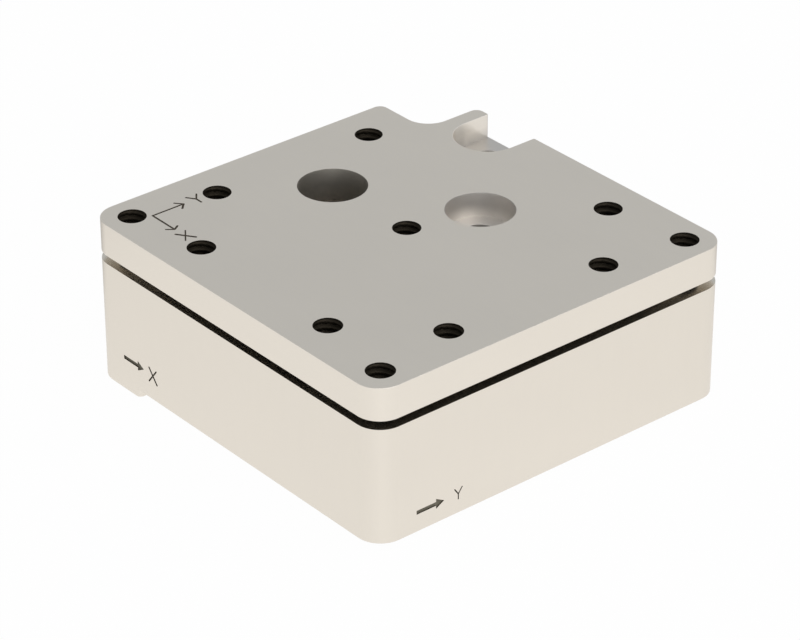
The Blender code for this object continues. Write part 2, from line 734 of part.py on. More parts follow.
def cut_preload_hole(target, drive):
    radius = PRELOAD_SCREW_RADIUS + THREAD_CLEARANCE
    shape = round_mesh([(0.0, 0.0)], radius, BLOCK_THICKNESS + 2 * CUT_PAST, sides=SMALL_SIDES)
    lay_along(shape, drive)
    middle = drive.point(sum(drive.block) / 2, drive.line)
    cut(target, drive.name + "_preload_hole", shape, (*middle, DRIVE_MIDDLE))


def lay_along(shape, drive):
    """Turns an upright round shape so that its top points along the push direction."""
    if drive.swap:
        matrix = Matrix.Rotation(-math.pi / 2, 3, "X")
    else:
        matrix = Matrix.Rotation(math.pi / 2, 3, "Y")
    bmesh.ops.rotate(shape, verts=shape.verts, matrix=matrix)


def make_square_piece(name, span, drive, finish, holder):
    """A square bar on the stack's line, over a span of the push direction."""
    half = PIEZO_SIDE / 2
    low, high = drive.box(span, (drive.line - half, drive.line + half))
    shape, place = span_box((*low, DRIVE_MIDDLE - half), (*high, DRIVE_MIDDLE + half))
    return add_part(name, shape, place, finish, holder)


def make_drive(drive, holder, pivot, finishes):
    name = drive.name
    make_square_piece(name + "_piezo_stack", drive.stack, drive, finishes["piezo"], holder)
    make_square_piece(name + "_rear_cap", drive.rear_cap, drive, finishes["cap"], holder)
    make_square_piece(name + "_front_cap", drive.front_cap, drive, finishes["cap"], holder)
    ball = bmesh.new()
    bmesh.ops.create_uvsphere(ball, u_segments=SMALL_SIDES, v_segments=BALL_RINGS, radius=BALL_RADIUS)
    place = (*drive.point(drive.ball, drive.line), DRIVE_MIDDLE)
    add_part(name + "_contact_ball", ball, place, finishes["ball"], holder).data.shade_smooth()
    make_preload_screw(drive, finishes["screw"], holder)
    make_lever(drive, finishes["lever"], pivot)


def make_preload_screw(drive, finish, holder):
    """A socket set screw in the block behind the stack, whose tip presses on the rear cap."""
    tail = drive.block[0] + PIN_CHAMFER
    tip = drive.rear_cap[0] - SEAT_GAP
    shape = round_mesh([(0.0, 0.0)], PRELOAD_SCREW_RADIUS, tip - tail, sides=SMALL_SIDES)
    lay_along(shape, drive)
    place = (*drive.point((tail + tip) / 2, drive.line), DRIVE_MIDDLE)
    screw = add_part(drive.name + "_preload_screw", shape, place, finish, holder)
    radius = PRELOAD_SCREW_RADIUS * SOCKET_SHARE
    socket = round_mesh([(0.0, 0.0)], radius, 2 * SOCKET_DEPTH, sides=SOCKET_SIDES)
    lay_along(socket, drive)
    cut(screw, drive.name + "_preload_socket", socket, (*drive.point(tail, drive.line), DRIVE_MIDDLE))


def make_lever(drive, finish, pivot):
    """A bar whose notch hinge, between two round cuts, leaves a thin neck over the pivot."""
    if drive.swap:
        foot = -RING_HALF_X
        foot_top = FLEXURE_BOTTOM - SEAT_GAP
    else:
        foot = -CAVITY_HALF + SEAT_GAP
        foot_top = DRIVE_MIDDLE + LEVER_HEIGHT / 2
    low, high = drive.box(drive.lever, (foot, drive.output + LEVER_TIP_HALF))
    bottom = DRIVE_MIDDLE - LEVER_HEIGHT / 2
    shape, place = span_box((*low, bottom), (*high, DRIVE_MIDDLE + LEVER_HEIGHT / 2))
    bmesh.ops.translate(shape, verts=shape.verts, vec=Vector(place) - world_place(pivot))
    lever = add_part(drive.name + "_lever", shape, world_place(pivot), finish, pivot)
    if drive.swap:
        low, high = drive.box(drive.lever, (foot, drive.pivot - NOTCH_RADIUS))
        join_box(lever, "y_lever_foot", (*low, DRIVE_MIDDLE), (*high, foot_top))
    aside = NECK_THICKNESS / 2 + NOTCH_RADIUS
    sides = [drive.point(drive.lever_middle + sign * aside, drive.pivot) for sign in (-1, 1)]
    cut_round(lever, drive.name + "_notches", sides, NOTCH_RADIUS, bottom - CUT_PAST, foot_top + CUT_PAST)


# Fasteners


def plate_screw_places():
    return square_places(PLATE_SCREW_PLACE, PLATE_SCREW_PLACE)


def pin_places():
    return [(PIN_PLACE, 0.0), (0.0, -PIN_PLACE)]


def make_sunk_screw(name, place, bottom, top, radius, head, rim, finish, holder):
    """A countersunk screw, head down, with a hexagon socket in its head."""
    points = [
        (0.0, top - bottom),
        (radius, top - bottom),
        (radius, rim + head - radius),
        (head, rim),
        (head, 0.0),
        (0.0, 0.0),
    ]
    screw = add_part(name, profile_mesh(points), (*place, bottom), finish, holder)
    turn_profile(screw, SMALL_SIDES)
    socket = round_mesh([place], radius * SOCKET_SHARE, 2 * SOCKET_DEPTH, sides=SOCKET_SIDES)
    cut(screw, name + "_socket", socket, (0.0, 0.0, bottom))


def make_plate_screws(finish, holder):
    top = PLATE_BOTTOM + PLATE_SCREW_BITE
    for number, place in enumerate(plate_screw_places(), 1):
        make_sunk_screw(
            "plate_screw_" + str(number),
            place,
            FLEXURE_BOTTOM,
            top,
            PLATE_SCREW_RADIUS,
            PLATE_SCREW_HEAD_RADIUS - PLATE_SCREW_RIM,
            PLATE_SCREW_RIM,
            finish,
            holder,
        )


def make_cover_screws(finish, holder):
    for number, place in enumerate(cover_screw_places(), 1):
        make_sunk_screw(
            "cover_screw_" + str(number),
            place,
            SEAT_GAP,
            COVER_SCREW_LENGTH,
            COVER_SCREW_RADIUS,
            COVER_SCREW_HEAD_RADIUS - COVER_SCREW_RIM,
            COVER_SCREW_RIM,
            finish,
            holder,
        )


def make_plate_pins(finish, holder):
    """Two ground pins that place the top plate on the platform."""
    edge = PIN_RADIUS - PIN_CHAMFER
    points = [
        (0.0, PIN_LENGTH),
        (edge, PIN_LENGTH),
        (PIN_RADIUS, PIN_LENGTH - PIN_CHAMFER),
        (PIN_RADIUS, PIN_CHAMFER),
        (edge, 0.0),
        (0.0, 0.0),
    ]
    bottom = PLATE_BOTTOM + PIN_BITE - PIN_LENGTH
    for number, place in enumerate(pin_places(), 1):
        pin = add_part("plate_pin_" + str(number), profile_mesh(points), (*place, bottom), finish, holder)
        turn_profile(pin, SMALL_SIDES)


# Leads


def make_terminals(board_finish, pin_finish, holder):
    """A small board on the cover, where the leads of the stacks are soldered to standing pins."""
    bottom = COVER_THICKNESS
    middle_y = CAVITY_HALF - BOARD_INSET - BOARD_WIDTH / 2
    low = (BOARD_X - BOARD_LENGTH / 2, middle_y - BOARD_WIDTH / 2, bottom)
    high = (BOARD_X + BOARD_LENGTH / 2, middle_y + BOARD_WIDTH / 2, bottom + BOARD_THICKNESS)
    shape, place = span_box(low, high)
    board = add_part("terminal_board", shape, place, board_finish, holder)
    first = BOARD_X - TERMINAL_PITCH * (TERMINAL_COUNT - 1) / 2
    places = [(first + TERMINAL_PITCH * i, middle_y) for i in range(TERMINAL_COUNT)]
    top = bottom + BOARD_THICKNESS + CUT_PAST
    radius = TERMINAL_RADIUS + SEAT_GAP
    cut_round(board, "terminal_holes", places, radius, bottom - CUT_PAST, top, sides=PIN_SIDES)
    for number, (x, y) in enumerate(places, 1):
        shape = round_mesh([(0.0, 0.0)], TERMINAL_RADIUS, TERMINAL_LENGTH, sides=PIN_SIDES)
        place = (x, y, bottom + TERMINAL_LENGTH / 2)
        add_part("terminal_pin_" + str(number), shape, place, pin_finish, holder)


def make_grommet(finish, holder):
    """A rubber sleeve in the rear wall, with a flange inside, that the leads would leave through."""
    flange = GROMMET_RADIUS + GROMMET_LIP
    length = FRAME_WALL - EDGE_BREAK
    points = [
        (GROMMET_BORE, 0.0),
        (GROMMET_BORE, length + GROMMET_FLANGE),
        (flange, length + GROMMET_FLANGE),
        (flange, length + SEAT_GAP),
        (GROMMET_RADIUS, length + SEAT_GAP),
        (GROMMET_RADIUS, 0.0),
        (GROMMET_BORE, 0.0),
    ]
    shape = profile_mesh(points)
    bmesh.ops.remove_doubles(shape, verts=shape.verts, dist=1e-8)
    place = (BOARD_X, HALF - EDGE_BREAK, LEAD_HEIGHT)
    grommet = add_part("lead_grommet", shape, place, finish, holder)
    grommet.rotation_euler = (math.pi / 2, 0.0, 0.0)
    turn_profile(grommet, TAP_SIDES)


def add_empty(name, place, holder):
    made = bpy.data.objects.new(name, None)
    made.empty_display_size = EMPTY_SIZE
    made.location = Vector(place) - world_place(holder)
    made.parent = holder
    PARTS.objects.link(made)
    return made


def main():
    base = add_empty("base_body", (0.0, 0.0, 0.0), None)
    x_slide = add_empty("x_slide", (0.0, 0.0, FLEXURE_MIDDLE), base)
    y_slide = add_empty("y_slide", (0.0, 0.0, FLEXURE_MIDDLE), x_slide)
    x_place = X_DRIVE.point(X_DRIVE.lever_middle, X_DRIVE.pivot)
    x_pivot = add_empty("x_pivot", (*x_place, DRIVE_MIDDLE), base)
    y_place = Y_DRIVE.point(Y_DRIVE.lever_middle, Y_DRIVE.pivot)
    y_pivot = add_empty("y_pivot", (*y_place, DRIVE_MIDDLE), x_slide)
    body = body_metal()
    steel = mechanism_metal()
    screws = screw_steel()
    finishes = {
        "piezo": piezo_ceramic(),
        "cap": cap_ceramic(),
        "ball": ball_steel(),
        "screw": screws,
        "lever": steel,
    }
    make_top_plate(plate_metal(), y_slide)
    make_base_frame(body, base)
    make_bottom_cover(body, base)
    make_x_carriage(body, x_slide)
    make_y_platform(body, y_slide)
    make_leaves(steel, base, x_slide)
    make_drive(X_DRIVE, base, x_pivot, finishes)
    make_drive(Y_DRIVE, x_slide, y_pivot, finishes)
    make_plate_screws(screws, y_slide)
    make_plate_pins(screws, y_slide)
    make_cover_screws(screws, base)
    make_terminals(board_laminate(), terminal_brass(), base)
    make_grommet(grommet_rubber(), base)


clear_scene()
PARTS = new_collection("piezo_scanner_stage")
CUTTERS = new_collection("cutters")
main()
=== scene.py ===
# %% [markdown]
# # A piezo scanner stage, dressed for its picture
#
# The object is a two-axis scanning stage, 25 mm on a side: a drilled top plate that floats half a
# millimetre above a square metal base. Inside the base, piezo stacks push levers, and the levers
# move the plate by a few hundredths of a millimetre. The working model, with its joints, is
# loaded first as a fixed frame. This file only gives it its looks: finer shapes where light shows
# them, the finish of every metal, the engraved axis marks, the light and the camera.

import json
import math

import bmesh
import bpy
import numpy as np
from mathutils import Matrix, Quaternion, Vector
from mathutils.geometry import delaunay_2d_cdt


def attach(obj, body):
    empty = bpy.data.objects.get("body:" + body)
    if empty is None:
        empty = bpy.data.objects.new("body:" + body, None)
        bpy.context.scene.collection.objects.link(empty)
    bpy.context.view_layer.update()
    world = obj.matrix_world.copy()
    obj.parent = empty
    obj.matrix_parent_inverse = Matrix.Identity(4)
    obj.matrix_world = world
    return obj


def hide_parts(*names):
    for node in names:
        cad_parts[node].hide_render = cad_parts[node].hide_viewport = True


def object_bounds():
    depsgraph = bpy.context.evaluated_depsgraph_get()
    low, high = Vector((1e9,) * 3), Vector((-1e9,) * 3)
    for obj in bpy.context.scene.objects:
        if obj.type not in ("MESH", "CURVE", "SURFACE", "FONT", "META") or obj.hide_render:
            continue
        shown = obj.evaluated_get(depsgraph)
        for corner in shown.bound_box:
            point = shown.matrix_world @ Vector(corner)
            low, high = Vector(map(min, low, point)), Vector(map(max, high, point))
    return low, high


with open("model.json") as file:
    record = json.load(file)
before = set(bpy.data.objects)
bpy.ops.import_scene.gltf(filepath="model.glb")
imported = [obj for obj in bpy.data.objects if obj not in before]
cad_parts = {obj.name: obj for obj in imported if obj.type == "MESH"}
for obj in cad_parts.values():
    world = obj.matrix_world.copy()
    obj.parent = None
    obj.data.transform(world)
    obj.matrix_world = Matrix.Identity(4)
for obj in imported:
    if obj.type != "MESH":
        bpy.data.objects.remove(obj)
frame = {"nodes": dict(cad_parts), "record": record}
cad_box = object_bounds()
MM = 0.001
box_sides = [round((high - low) / MM, 2) for low, high in zip(*cad_box)]
print("nodes:", len(frame["nodes"]), "box in mm:", box_sides)

# %% [markdown]
# ## The camera
#
# The photograph looks down on one corner with a long lens, from far enough away that the sides
# stay almost parallel. Its place and its lens were worked out from the four corners of the plate
# and the centres of its holes, which lie on known places. A camera in Blender looks along its own
# -Z, so the view direction is turned into a rotation that brings -Z onto it and keeps +Y up.

# %% Place the camera
CAMERA_PLACE = Vector((0.13203, -0.110331, 0.104515))
CAMERA_VIEW = Vector((-0.664005, 0.552384, -0.503954))
CAMERA_ROLL = math.radians(-0.121)
CAMERA_LENS, SENSOR_WIDTH = 160.38, 36.0
PICTURE = (800, 640)

camera = bpy.data.objects.new("camera", bpy.data.cameras.new("camera"))
bpy.context.scene.collection.objects.link(camera)
camera.location = CAMERA_PLACE
camera.rotation_mode = "QUATERNION"
roll = Quaternion((0.0, 0.0, 1.0), CAMERA_ROLL)
camera.rotation_quaternion = CAMERA_VIEW.to_track_quat("-Z", "Y") @ roll
camera.data.sensor_width = SENSOR_WIDTH
camera.data.lens = CAMERA_LENS
camera.data.clip_start = 0.01
camera.data.clip_end = 20.0
bpy.context.scene.camera = camera


def pixel_of(x, y, z):
    """Where a point given in millimetres falls in the picture, in pixels from its upper left."""
    local = camera.matrix_world.inverted() @ (Vector((x, y, z)) * MM)
    pixels = CAMERA_LENS / SENSOR_WIDTH * PICTURE[0]
    across = PICTURE[0] / 2 + pixels * local.x / -local.z
    down = PICTURE[1] / 2 - pixels * local.y / -local.z
    return round(across, 1), round(down, 1)


bpy.context.view_layer.update()
print("plate corners in the picture:", pixel_of(-12.5, -12.5, 10), pixel_of(12.5, 12.5, 10))

# %% [markdown]
# ## Shader maths as plain sums
#
# A material is a net of nodes, and a net is hard to read as a list of boxes and links. Here one
# small class stands for a socket that gives a value. Adding or multiplying two of them adds the
# Math node that does it, so a formula for a finish reads like a formula. Any other node comes
# from `node`.

# %% A socket that can be used in sums


class Wire:
    """One value in a material: a number or colour that comes out of a node's socket."""

    def __init__(self, tree, socket=None):
        self.tree = tree
        self.socket = socket

    def node(self, kind, settings=None, values=None, output=0):
        """Adds a node, its settings first and then its sockets' values, and gives one output."""
        made = self.tree.nodes.new(kind)
        for name, value in (settings or {}).items():
            if name == "stops":
                ramp_stops(made.color_ramp, value)
            else:
                setattr(made, name, value)
        for place, value in (values or {}).items():
            if isinstance(value, Wire):
                self.tree.links.new(value.socket, made.inputs[place])
            else:
                made.inputs[place].default_value = value
        return Wire(self.tree, made.outputs[output])

    def sum(self, operation, *values):
        return self.node("ShaderNodeMath", {"operation": operation}, dict(enumerate(values)))

    def __add__(self, other):
        return self.sum("ADD", self, other)

    def __mul__(self, other):
        return self.sum("MULTIPLY", self, other)

    def __sub__(self, other):
        return self.sum("SUBTRACT", self, other)

    def __rsub__(self, other):
        return self.sum("SUBTRACT", other, self)

    def __truediv__(self, other):
        return self.sum("DIVIDE", self, other)

    __radd__ = __add__
    __rmul__ = __mul__


def ramp_stops(ramp, stops):
    """Gives a colour ramp its stops, each a place from 0 to 1 and a grey level or a colour."""
    while len(ramp.elements) < len(stops):
        ramp.elements.new(1.0)
    for element, (place, colour) in zip(ramp.elements, stops):
        element.position = place
        colour = colour if isinstance(colour, tuple) else (colour, colour, colour)
        element.color = (*colour, 1.0)


def finish(name, colour, roughness, metallic):
    """A new material, its Principled shader and a Wire to build on."""
    made = bpy.data.materials.new(name)
    made.use_nodes = True
    shader = made.node_tree.nodes["Principled BSDF"]
    shader.inputs["Base Color"].default_value = (*colour, 1.0)
    shader.inputs["Roughness"].default_value = roughness
    shader.inputs["Metallic"].default_value = metallic
    return made, shader, Wire(made.node_tree)


def drive(shader, socket, wire):
    wire.tree.links.new(wire.socket, shader.inputs[socket])


def place_of(wire):
    """Where a point lies on its piece, in metres: the same from every camera."""
    return wire.node("ShaderNodeTexCoord", output="Object")


def noise(wire, place, size, detail=2.0, squeeze=None):
    """Noise from 0 to 1 whose blots are about `size` metres across."""
    if squeeze:
        factors = {0: place, 1: squeeze}
        place = wire.node("ShaderNodeVectorMath", {"operation": "MULTIPLY"}, factors)
    values = {"Vector": place, "Scale": 1.0 / size, "Detail": detail}
    return wire.node("ShaderNodeTexNoise", None, values)


def tint(wire, factor, dark, light):
    """A colour between two, by a factor from 0 to 1."""
    values = {"Factor": factor, 6: (*dark, 1.0), 7: (*light, 1.0)}
    return wire.node("ShaderNodeMix", {"data_type": "RGBA"}, values, output=2)


def bump(wire, height, strength, distance):
    values = {"Height": height, "Strength": strength, "Distance": distance}
    return wire.node("ShaderNodeBump", None, values)


# %% [markdown]
# ## The metals
#
# The outside is one warm satin metal: milled, blasted with fine glass beads and given a thin hard
# coat. Up close such a face is thousands of shallow dents about three hundredths of a millimetre
# wide, and it is a little smoother where fingers and fixtures rub its edges. The dents are bump
# from noise, and the rubbed edges come from a value, `rub`, that the meshes carry at each point.

# %% Blasted metal, for the plate and the base
DULLER, BRIGHTER = 0.975, 1.02


def blasted_metal(name, colour, grain, lay):
    """Satin metal: fine dents, faint cloudy differences in colour and gloss, and rubbed edges."""
    made, shader, wire = finish(name, colour, 0.4, 1.0)
    place = place_of(wire)
    dents = noise(wire, place, grain, 3.0)
    clouds = noise(wire, place, 4.0 * MM, 3.0)
    lines = noise(wire, place, 0.5 * MM, 2.0, lay)
    rub = wire.node("ShaderNodeAttribute", {"attribute_name": "rub"}, output="Fac")
    dull = tuple(DULLER * part for part in colour)
    bright = tuple(BRIGHTER * part for part in colour)
    drive(shader, "Base Color", tint(wire, clouds * 0.7 + lines * 0.3, dull, bright))
    drive(shader, "Roughness", 0.4 + clouds * 0.05 + dents * 0.05 - rub * 0.03)
    drive(shader, "Normal", bump(wire, dents + lines * 0.2, 0.25, 0.002 * MM))
    return made


BASE_METAL = (0.805, 0.75, 0.668)
PLATE_METAL = (0.82, 0.764, 0.682)
base_metal = blasted_metal("base_metal", BASE_METAL, 0.05 * MM, (1.0, 1.0, 0.2))
plate_metal = blasted_metal("plate_metal", PLATE_METAL, 0.045 * MM, (0.15, 1.0, 1.0))
print("blasted metals:", base_metal.name, plate_metal.name)

# %% [markdown]
# ## Cut threads, bores and engraving
#
# A tapped hole looks nearly black: its thread turns light back and forth until little is left, and
# its metal is painted nearly black as painted shade. The large bores show greyer metal with fine
# rings round them, and their colour is painted light and shade that changes little by little from
# the floor up: the round seat and the access hole are painted lighter low down, the slot darker
# low down and lighter than the plate at its top, and the access hole darker overall. The two faces
# at the gap are ground smooth, and the upper one is painted darker as painted shade, which keeps
# the gap nearly black. The marks are engraved and dark; in the base's faces the groove's floor is
# painted a lighter grey-brown than its nearly black walls, as painted light and shade.

# %% Finishes of the holes, the gap and the marks
PLATE_BOTTOM, PLATE_TOP = 8.0, 10.0
SEAT_FLOOR = 8.5
RING_PITCH = 0.06 * MM
HALF_WAY = 0.5
UNEVEN = 0.2


def thread_painted_shade():
    """Metal painted nearly black as painted shade in the tapped hole, stained unevenly."""
    made, shader, wire = finish("thread_painted_shade", (0.05, 0.042, 0.031), 0.55, 1.0)
    stain = noise(wire, place_of(wire), 0.3 * MM, 4.0)
    stained = tint(wire, stain, (0.026, 0.0215, 0.0155), (0.074, 0.0615, 0.0455))
    drive(shader, "Base Color", stained)
    drive(shader, "Roughness", 0.55 + stain * 0.2)
    return made


def bored_metal_painted_light_and_shade(name, deep, high, roughness, low=SEAT_FLOOR):
    """The wall of a bore: fine turning rings, one above the other, and a colour that changes.

    The colour is painted light and shade: it goes from `deep` at the height `low` to `high` half
    way up to the plate's top, a little unevenly. The rings are sin(full turn z / pitch).
    """
    made, shader, wire = finish(name, high, roughness, 1.0)
    place = place_of(wire)
    height = wire.node("ShaderNodeSeparateXYZ", None, {"Vector": place}, output="Z")
    rings = wire.sum("SINE", height * (math.tau / RING_PITCH))
    clouds = noise(wire, place, 1.2 * MM, 3.0)
    rise = HALF_WAY * (PLATE_TOP - low) * MM
    painted_light_and_shade_share = (height - low * MM) / rise + clouds * UNEVEN - UNEVEN / 2
    drive(shader, "Base Color", tint(wire, painted_light_and_shade_share, deep, high))
    drive(shader, "Roughness", roughness - 0.03 + clouds * 0.1)
    drive(shader, "Normal", bump(wire, rings, 0.1, 0.002 * MM))
    return made


def dull_coat(name, dark, light, roughness):
    """A dull finish without metal's mirror, blotchy at the size of a fine powder."""
    made, shader, wire = finish(name, light, roughness, 0.0)
    shader.inputs["Specular IOR Level"].default_value = 0.2
    burn = noise(wire, place_of(wire), 0.08 * MM, 3.0)
    drive(shader, "Base Color", tint(wire, burn, dark, light))
    drive(shader, "Roughness", roughness - 0.1 + burn * 0.2)
    return made


def ground_metal(name, dark, light):
    """A face ground flat: smoother than the rest, with fine straight scratches."""
    made, shader, wire = finish(name, light, 0.25, 1.0)
    scratches = noise(wire, place_of(wire), 0.1 * MM, 3.0, (0.05, 1.0, 1.0))
    drive(shader, "Base Color", tint(wire, scratches, dark, light))
    drive(shader, "Roughness", 0.2 + scratches * 0.1)
    return made


# Painted shade: the tapped holes' thread is painted nearly black.
thread_painted_shade_finish = thread_painted_shade()
# Painted light and shade: the round seat and the access hole are painted lighter low down, the
# slot darker low down and lighter than the plate at its top, and the access hole darker overall.
seat_painted_light_and_shade = bored_metal_painted_light_and_shade("bored_seat_painted_light_and_shade", (0.8, 0.76, 0.713), (0.63, 0.6, 0.565), 0.5)
slot_painted_light_and_shade = bored_metal_painted_light_and_shade("milled_slot_painted_light_and_shade", (0.68, 0.645, 0.603), (0.95, 0.89, 0.805), 0.28)
access_painted_light_and_shade = bored_metal_painted_light_and_shade(
    "bored_access_painted_light_and_shade", (0.74, 0.69, 0.61), (0.45, 0.421, 0.373), 0.5, PLATE_BOTTOM
)
# Painted shade: the plate's underside is painted darker than the rest of the plate, which keeps
# the gap nearly black.
underside_painted_shade = ground_metal("underside_painted_shade_metal", (0.6, 0.553, 0.478), (0.7, 0.645, 0.558))
land_finish = ground_metal("ground_land", (0.76, 0.71, 0.63), (0.82, 0.765, 0.68))
mark_finish = dull_coat("engraved_line", (0.045, 0.034, 0.022), (0.085, 0.067, 0.047), 0.7)
# Painted light and shade in the base's grooves: the floor is painted lighter than the engraving's
# dark walls.
mark_floor_painted_light = dull_coat(
    "engraved_floor_painted_light", (0.125, 0.112, 0.082), (0.185, 0.168, 0.127), 0.65
)
print("finishes so far:", [made.name for made in bpy.data.materials])

# %% [markdown]
# ## The pieces inside
#
# Most of the mechanism is hidden, but it shows through the holes, so each material has its own
# look: wire-cut flexures with fine upright lines, dark turned screws, fired ceramic stacks with a
# thin line for each layer, a solder-masked board and bright pins.

# %% Materials of the inner pieces
LAYER = 0.1 * MM


def wire_cut_steel():
    made, shader, wire = finish("wire_cut_steel", (0.50, 0.50, 0.49), 0.4, 1.0)
    lines = noise(wire, place_of(wire), 0.12 * MM, 3.0, (1.0, 1.0, 0.04))
    drive(shader, "Base Color", tint(wire, lines, (0.42, 0.42, 0.41), (0.56, 0.56, 0.55)))
    drive(shader, "Roughness", 0.34 + lines * 0.16)
    drive(shader, "Normal", bump(wire, lines, 0.3, 0.003 * MM))
    return made


def turned_steel(name, dark, light, roughness):
    made, shader, wire = finish(name, light, roughness, 1.0)
    place = place_of(wire)
    rings = noise(wire, place, 0.1 * MM, 2.0, (0.2, 0.2, 1.0))
    drive(shader, "Base Color", tint(wire, rings, dark, light))
    drive(shader, "Roughness", roughness + rings * 0.1)
    drive(shader, "Normal", bump(wire, rings, 0.15, 0.002 * MM))
    return made


def stacked_ceramic():
    """Dark fired ceramic in layers a tenth of a millimetre thick, under a clear coat.

    The layers are (sin(full turn x / thickness) + 1) / 2.
    """
    made, shader, wire = finish("stacked_ceramic", (0.14, 0.10, 0.07), 0.45, 0.0)
    place = place_of(wire)
    grain = noise(wire, place, 0.2 * MM, 4.0)
    lengthwise = wire.node("ShaderNodeSeparateXYZ", None, {"Vector": place}, output="X")
    layers = wire.sum("SINE", lengthwise * (math.tau / LAYER)) * 0.5 + 0.5
    mixed = layers * 0.6 + grain * 0.4
    drive(shader, "Base Color", tint(wire, mixed, (0.09, 0.06, 0.04), (0.20, 0.15, 0.11)))
    drive(shader, "Roughness", 0.4 + grain * 0.15)
    shader.inputs["Coat Weight"].default_value = 0.3
    return made


def speckled(name, dark, light, roughness, grain, metallic=0.0):
    """A plain material with fine speckle in its colour and its gloss."""
    made, shader, wire = finish(name, light, roughness, metallic)
    specks = noise(wire, place_of(wire), grain, 4.0)
    drive(shader, "Base Color", tint(wire, specks, dark, light))
    drive(shader, "Roughness", roughness - 0.05 + specks * 0.1)
    drive(shader, "Normal", bump(wire, specks, 0.2, 0.003 * MM))
    return made


inner_finishes = {
    "body_metal": base_metal,
    "plate_metal": plate_metal,
    "flexure_steel": wire_cut_steel(),
    "screw_steel": turned_steel("screw_steel", (0.20, 0.20, 0.21), (0.34, 0.34, 0.35), 0.32),
    "ball_steel": turned_steel("ball_steel", (0.58, 0.58, 0.59), (0.64, 0.64, 0.65), 0.1),
    "piezo_ceramic": stacked_ceramic(),
    "cap_ceramic": speckled("cap_ceramic", (0.76, 0.74, 0.68), (0.84, 0.82, 0.76), 0.35, 0.1 * MM),
    "board_laminate": speckled(
        "board_laminate", (0.03, 0.15, 0.07), (0.05, 0.22, 0.10), 0.45, 0.15 * MM
    ),
    "terminal_brass": speckled(
        "terminal_brass", (0.72, 0.55, 0.24), (0.82, 0.64, 0.30), 0.3, 0.1 * MM, 1.0
    ),
    "grommet_rubber": speckled(
        "grommet_rubber", (0.02, 0.02, 0.02), (0.045, 0.045, 0.045), 0.75, 0.08 * MM
    ),
}

slot_of_node = {part["node"]: part["material_slot"] for part in frame["record"]["subparts"]}
for name, node in frame["nodes"].items():
    node.data.materials.clear()
    node.data.materials.append(inner_finishes[slot_of_node[name]])
print("finishes by slot:", len(inner_finishes), "for", len(slot_of_node), "nodes")

# %% [markdown]
# ## Tools for surfaces
#
# The plate is built from three kinds of surface, each worked out as whole arrays. A *carried*
# surface takes a small profile round a closed path, which makes the plate's side with its broken
# edges. A *turned* surface takes a profile round an upright axis, which makes the bores. A
# *level* face fills the flat between closed loops with triangles. All three share their border
# points, so that joining equal points closes the shell.

# %% Paths in the plane
CORNER_STEPS = 14
SUPPORT = 0.02


def rounded_path(corners, steps=CORNER_STEPS):
    """A closed path with rounded corners, and its outward normals.

    Each corner is x, y and radius, anticlockwise. With a and b the directions into and out of a
    corner that turns by t, its arc starts r tan(|t|/2) before the corner and its normals turn
    evenly from a's to b's. A point is added a little before and after each arc, so that shading
    stays flat on the straights.
    """
    corners = np.array(corners, float)
    places, radii = corners[:, :2], corners[:, 2]
    into = places - np.roll(places, 1, axis=0)
    into /= np.linalg.norm(into, axis=1, keepdims=True)
    out = np.roll(into, -1, axis=0)
    cross = into[:, 0] * out[:, 1] - into[:, 1] * out[:, 0]
    turn = np.arctan2(cross, (into * out).sum(axis=1))
    reach = radii * np.tan(np.abs(turn) / 2)
    side = np.sign(turn)
    start = places - into * reach[:, None]
    middle = start + np.stack([-into[:, 1], into[:, 0]], axis=1) * (radii * side)[:, None]
    share = np.linspace(0.0, 1.0, steps + 1)
    heading = np.arctan2(-into[:, 0], into[:, 1])[:, None] + turn[:, None] * share
    normals = np.stack([np.cos(heading), np.sin(heading)], axis=2)
    points = middle[:, None] + normals * (radii * side)[:, None, None]
    before = points[:, :1] - into[:, None] * SUPPORT
    after = points[:, -1:] + out[:, None] * SUPPORT
    points = np.concatenate([before, points, after], axis=1).reshape(-1, 2)
    normals = np.concatenate([normals[:, :1], normals, normals[:, -1:]], axis=1).reshape(-1, 2)
    return points, normals


def circle(centre, radius, sides):
    """Points centre + radius (cos a, sin a), for equal steps of a."""
    angle = np.linspace(0.0, math.tau, sides, endpoint=False)
    return np.array(centre) + radius * np.stack([np.cos(angle), np.sin(angle)], axis=1)


def capsule(start, end, width, steps=6):
    """The outline of a pen stroke: a straight line of a width, with a half circle at each end."""
    start, end = np.array(start, float), np.array(end, float)
    heading = math.atan2(*(end - start)[::-1])
    half_turn = np.linspace(-math.pi / 2, math.pi / 2, steps + 1)
    far = heading + half_turn
    near = far + math.pi
    tip = end + width / 2 * np.stack([np.cos(far), np.sin(far)], axis=1)
    tail = start + width / 2 * np.stack([np.cos(near), np.sin(near)], axis=1)
    return np.concatenate([tip, tail])


def within(loop, points):
    """Which points lie inside a closed loop.

    A ray to the right of such a point crosses the loop's sides an odd number of times.
    """
    first, second = loop, np.roll(loop, -1, axis=0)
    x, y = points[:, :1], points[:, 1:]
    spans = (first[:, 1] > y) != (second[:, 1] > y)
    rise = np.where(second[:, 1] == first[:, 1], 1.0, second[:, 1] - first[:, 1])
    meets = first[:, 0] + (y - first[:, 1]) / rise * (second[:, 0] - first[:, 0])
    return (spans & (x < meets)).sum(axis=1) % 2 == 1


def within_any(loops, points):
    return np.any([within(loop, points) for loop in loops], axis=0)


def lay_out(loops):
    """Triangles over the whole plane between loops, none of them crossing a loop.

    Gives the points, the triangles and the middle of each triangle.
    """
    points = np.concatenate(loops)
    ends = np.cumsum([len(loop) for loop in loops])
    following = np.arange(1, len(points) + 1)
    following[ends - 1] = np.concatenate([[0], ends[:-1]])
    sides = np.stack([np.arange(len(points)), following], axis=1).tolist()
    laid = delaunay_2d_cdt(list(map(Vector, points)), sides, [], 0, 1e-7)
    points = np.array(laid[0])
    triangles = np.array(laid[2])
    return points, triangles, points[triangles].mean(axis=1)


# %% Shells gathered from surfaces
SHARP_FROM = math.radians(35)
WELD = 0.0002 * MM


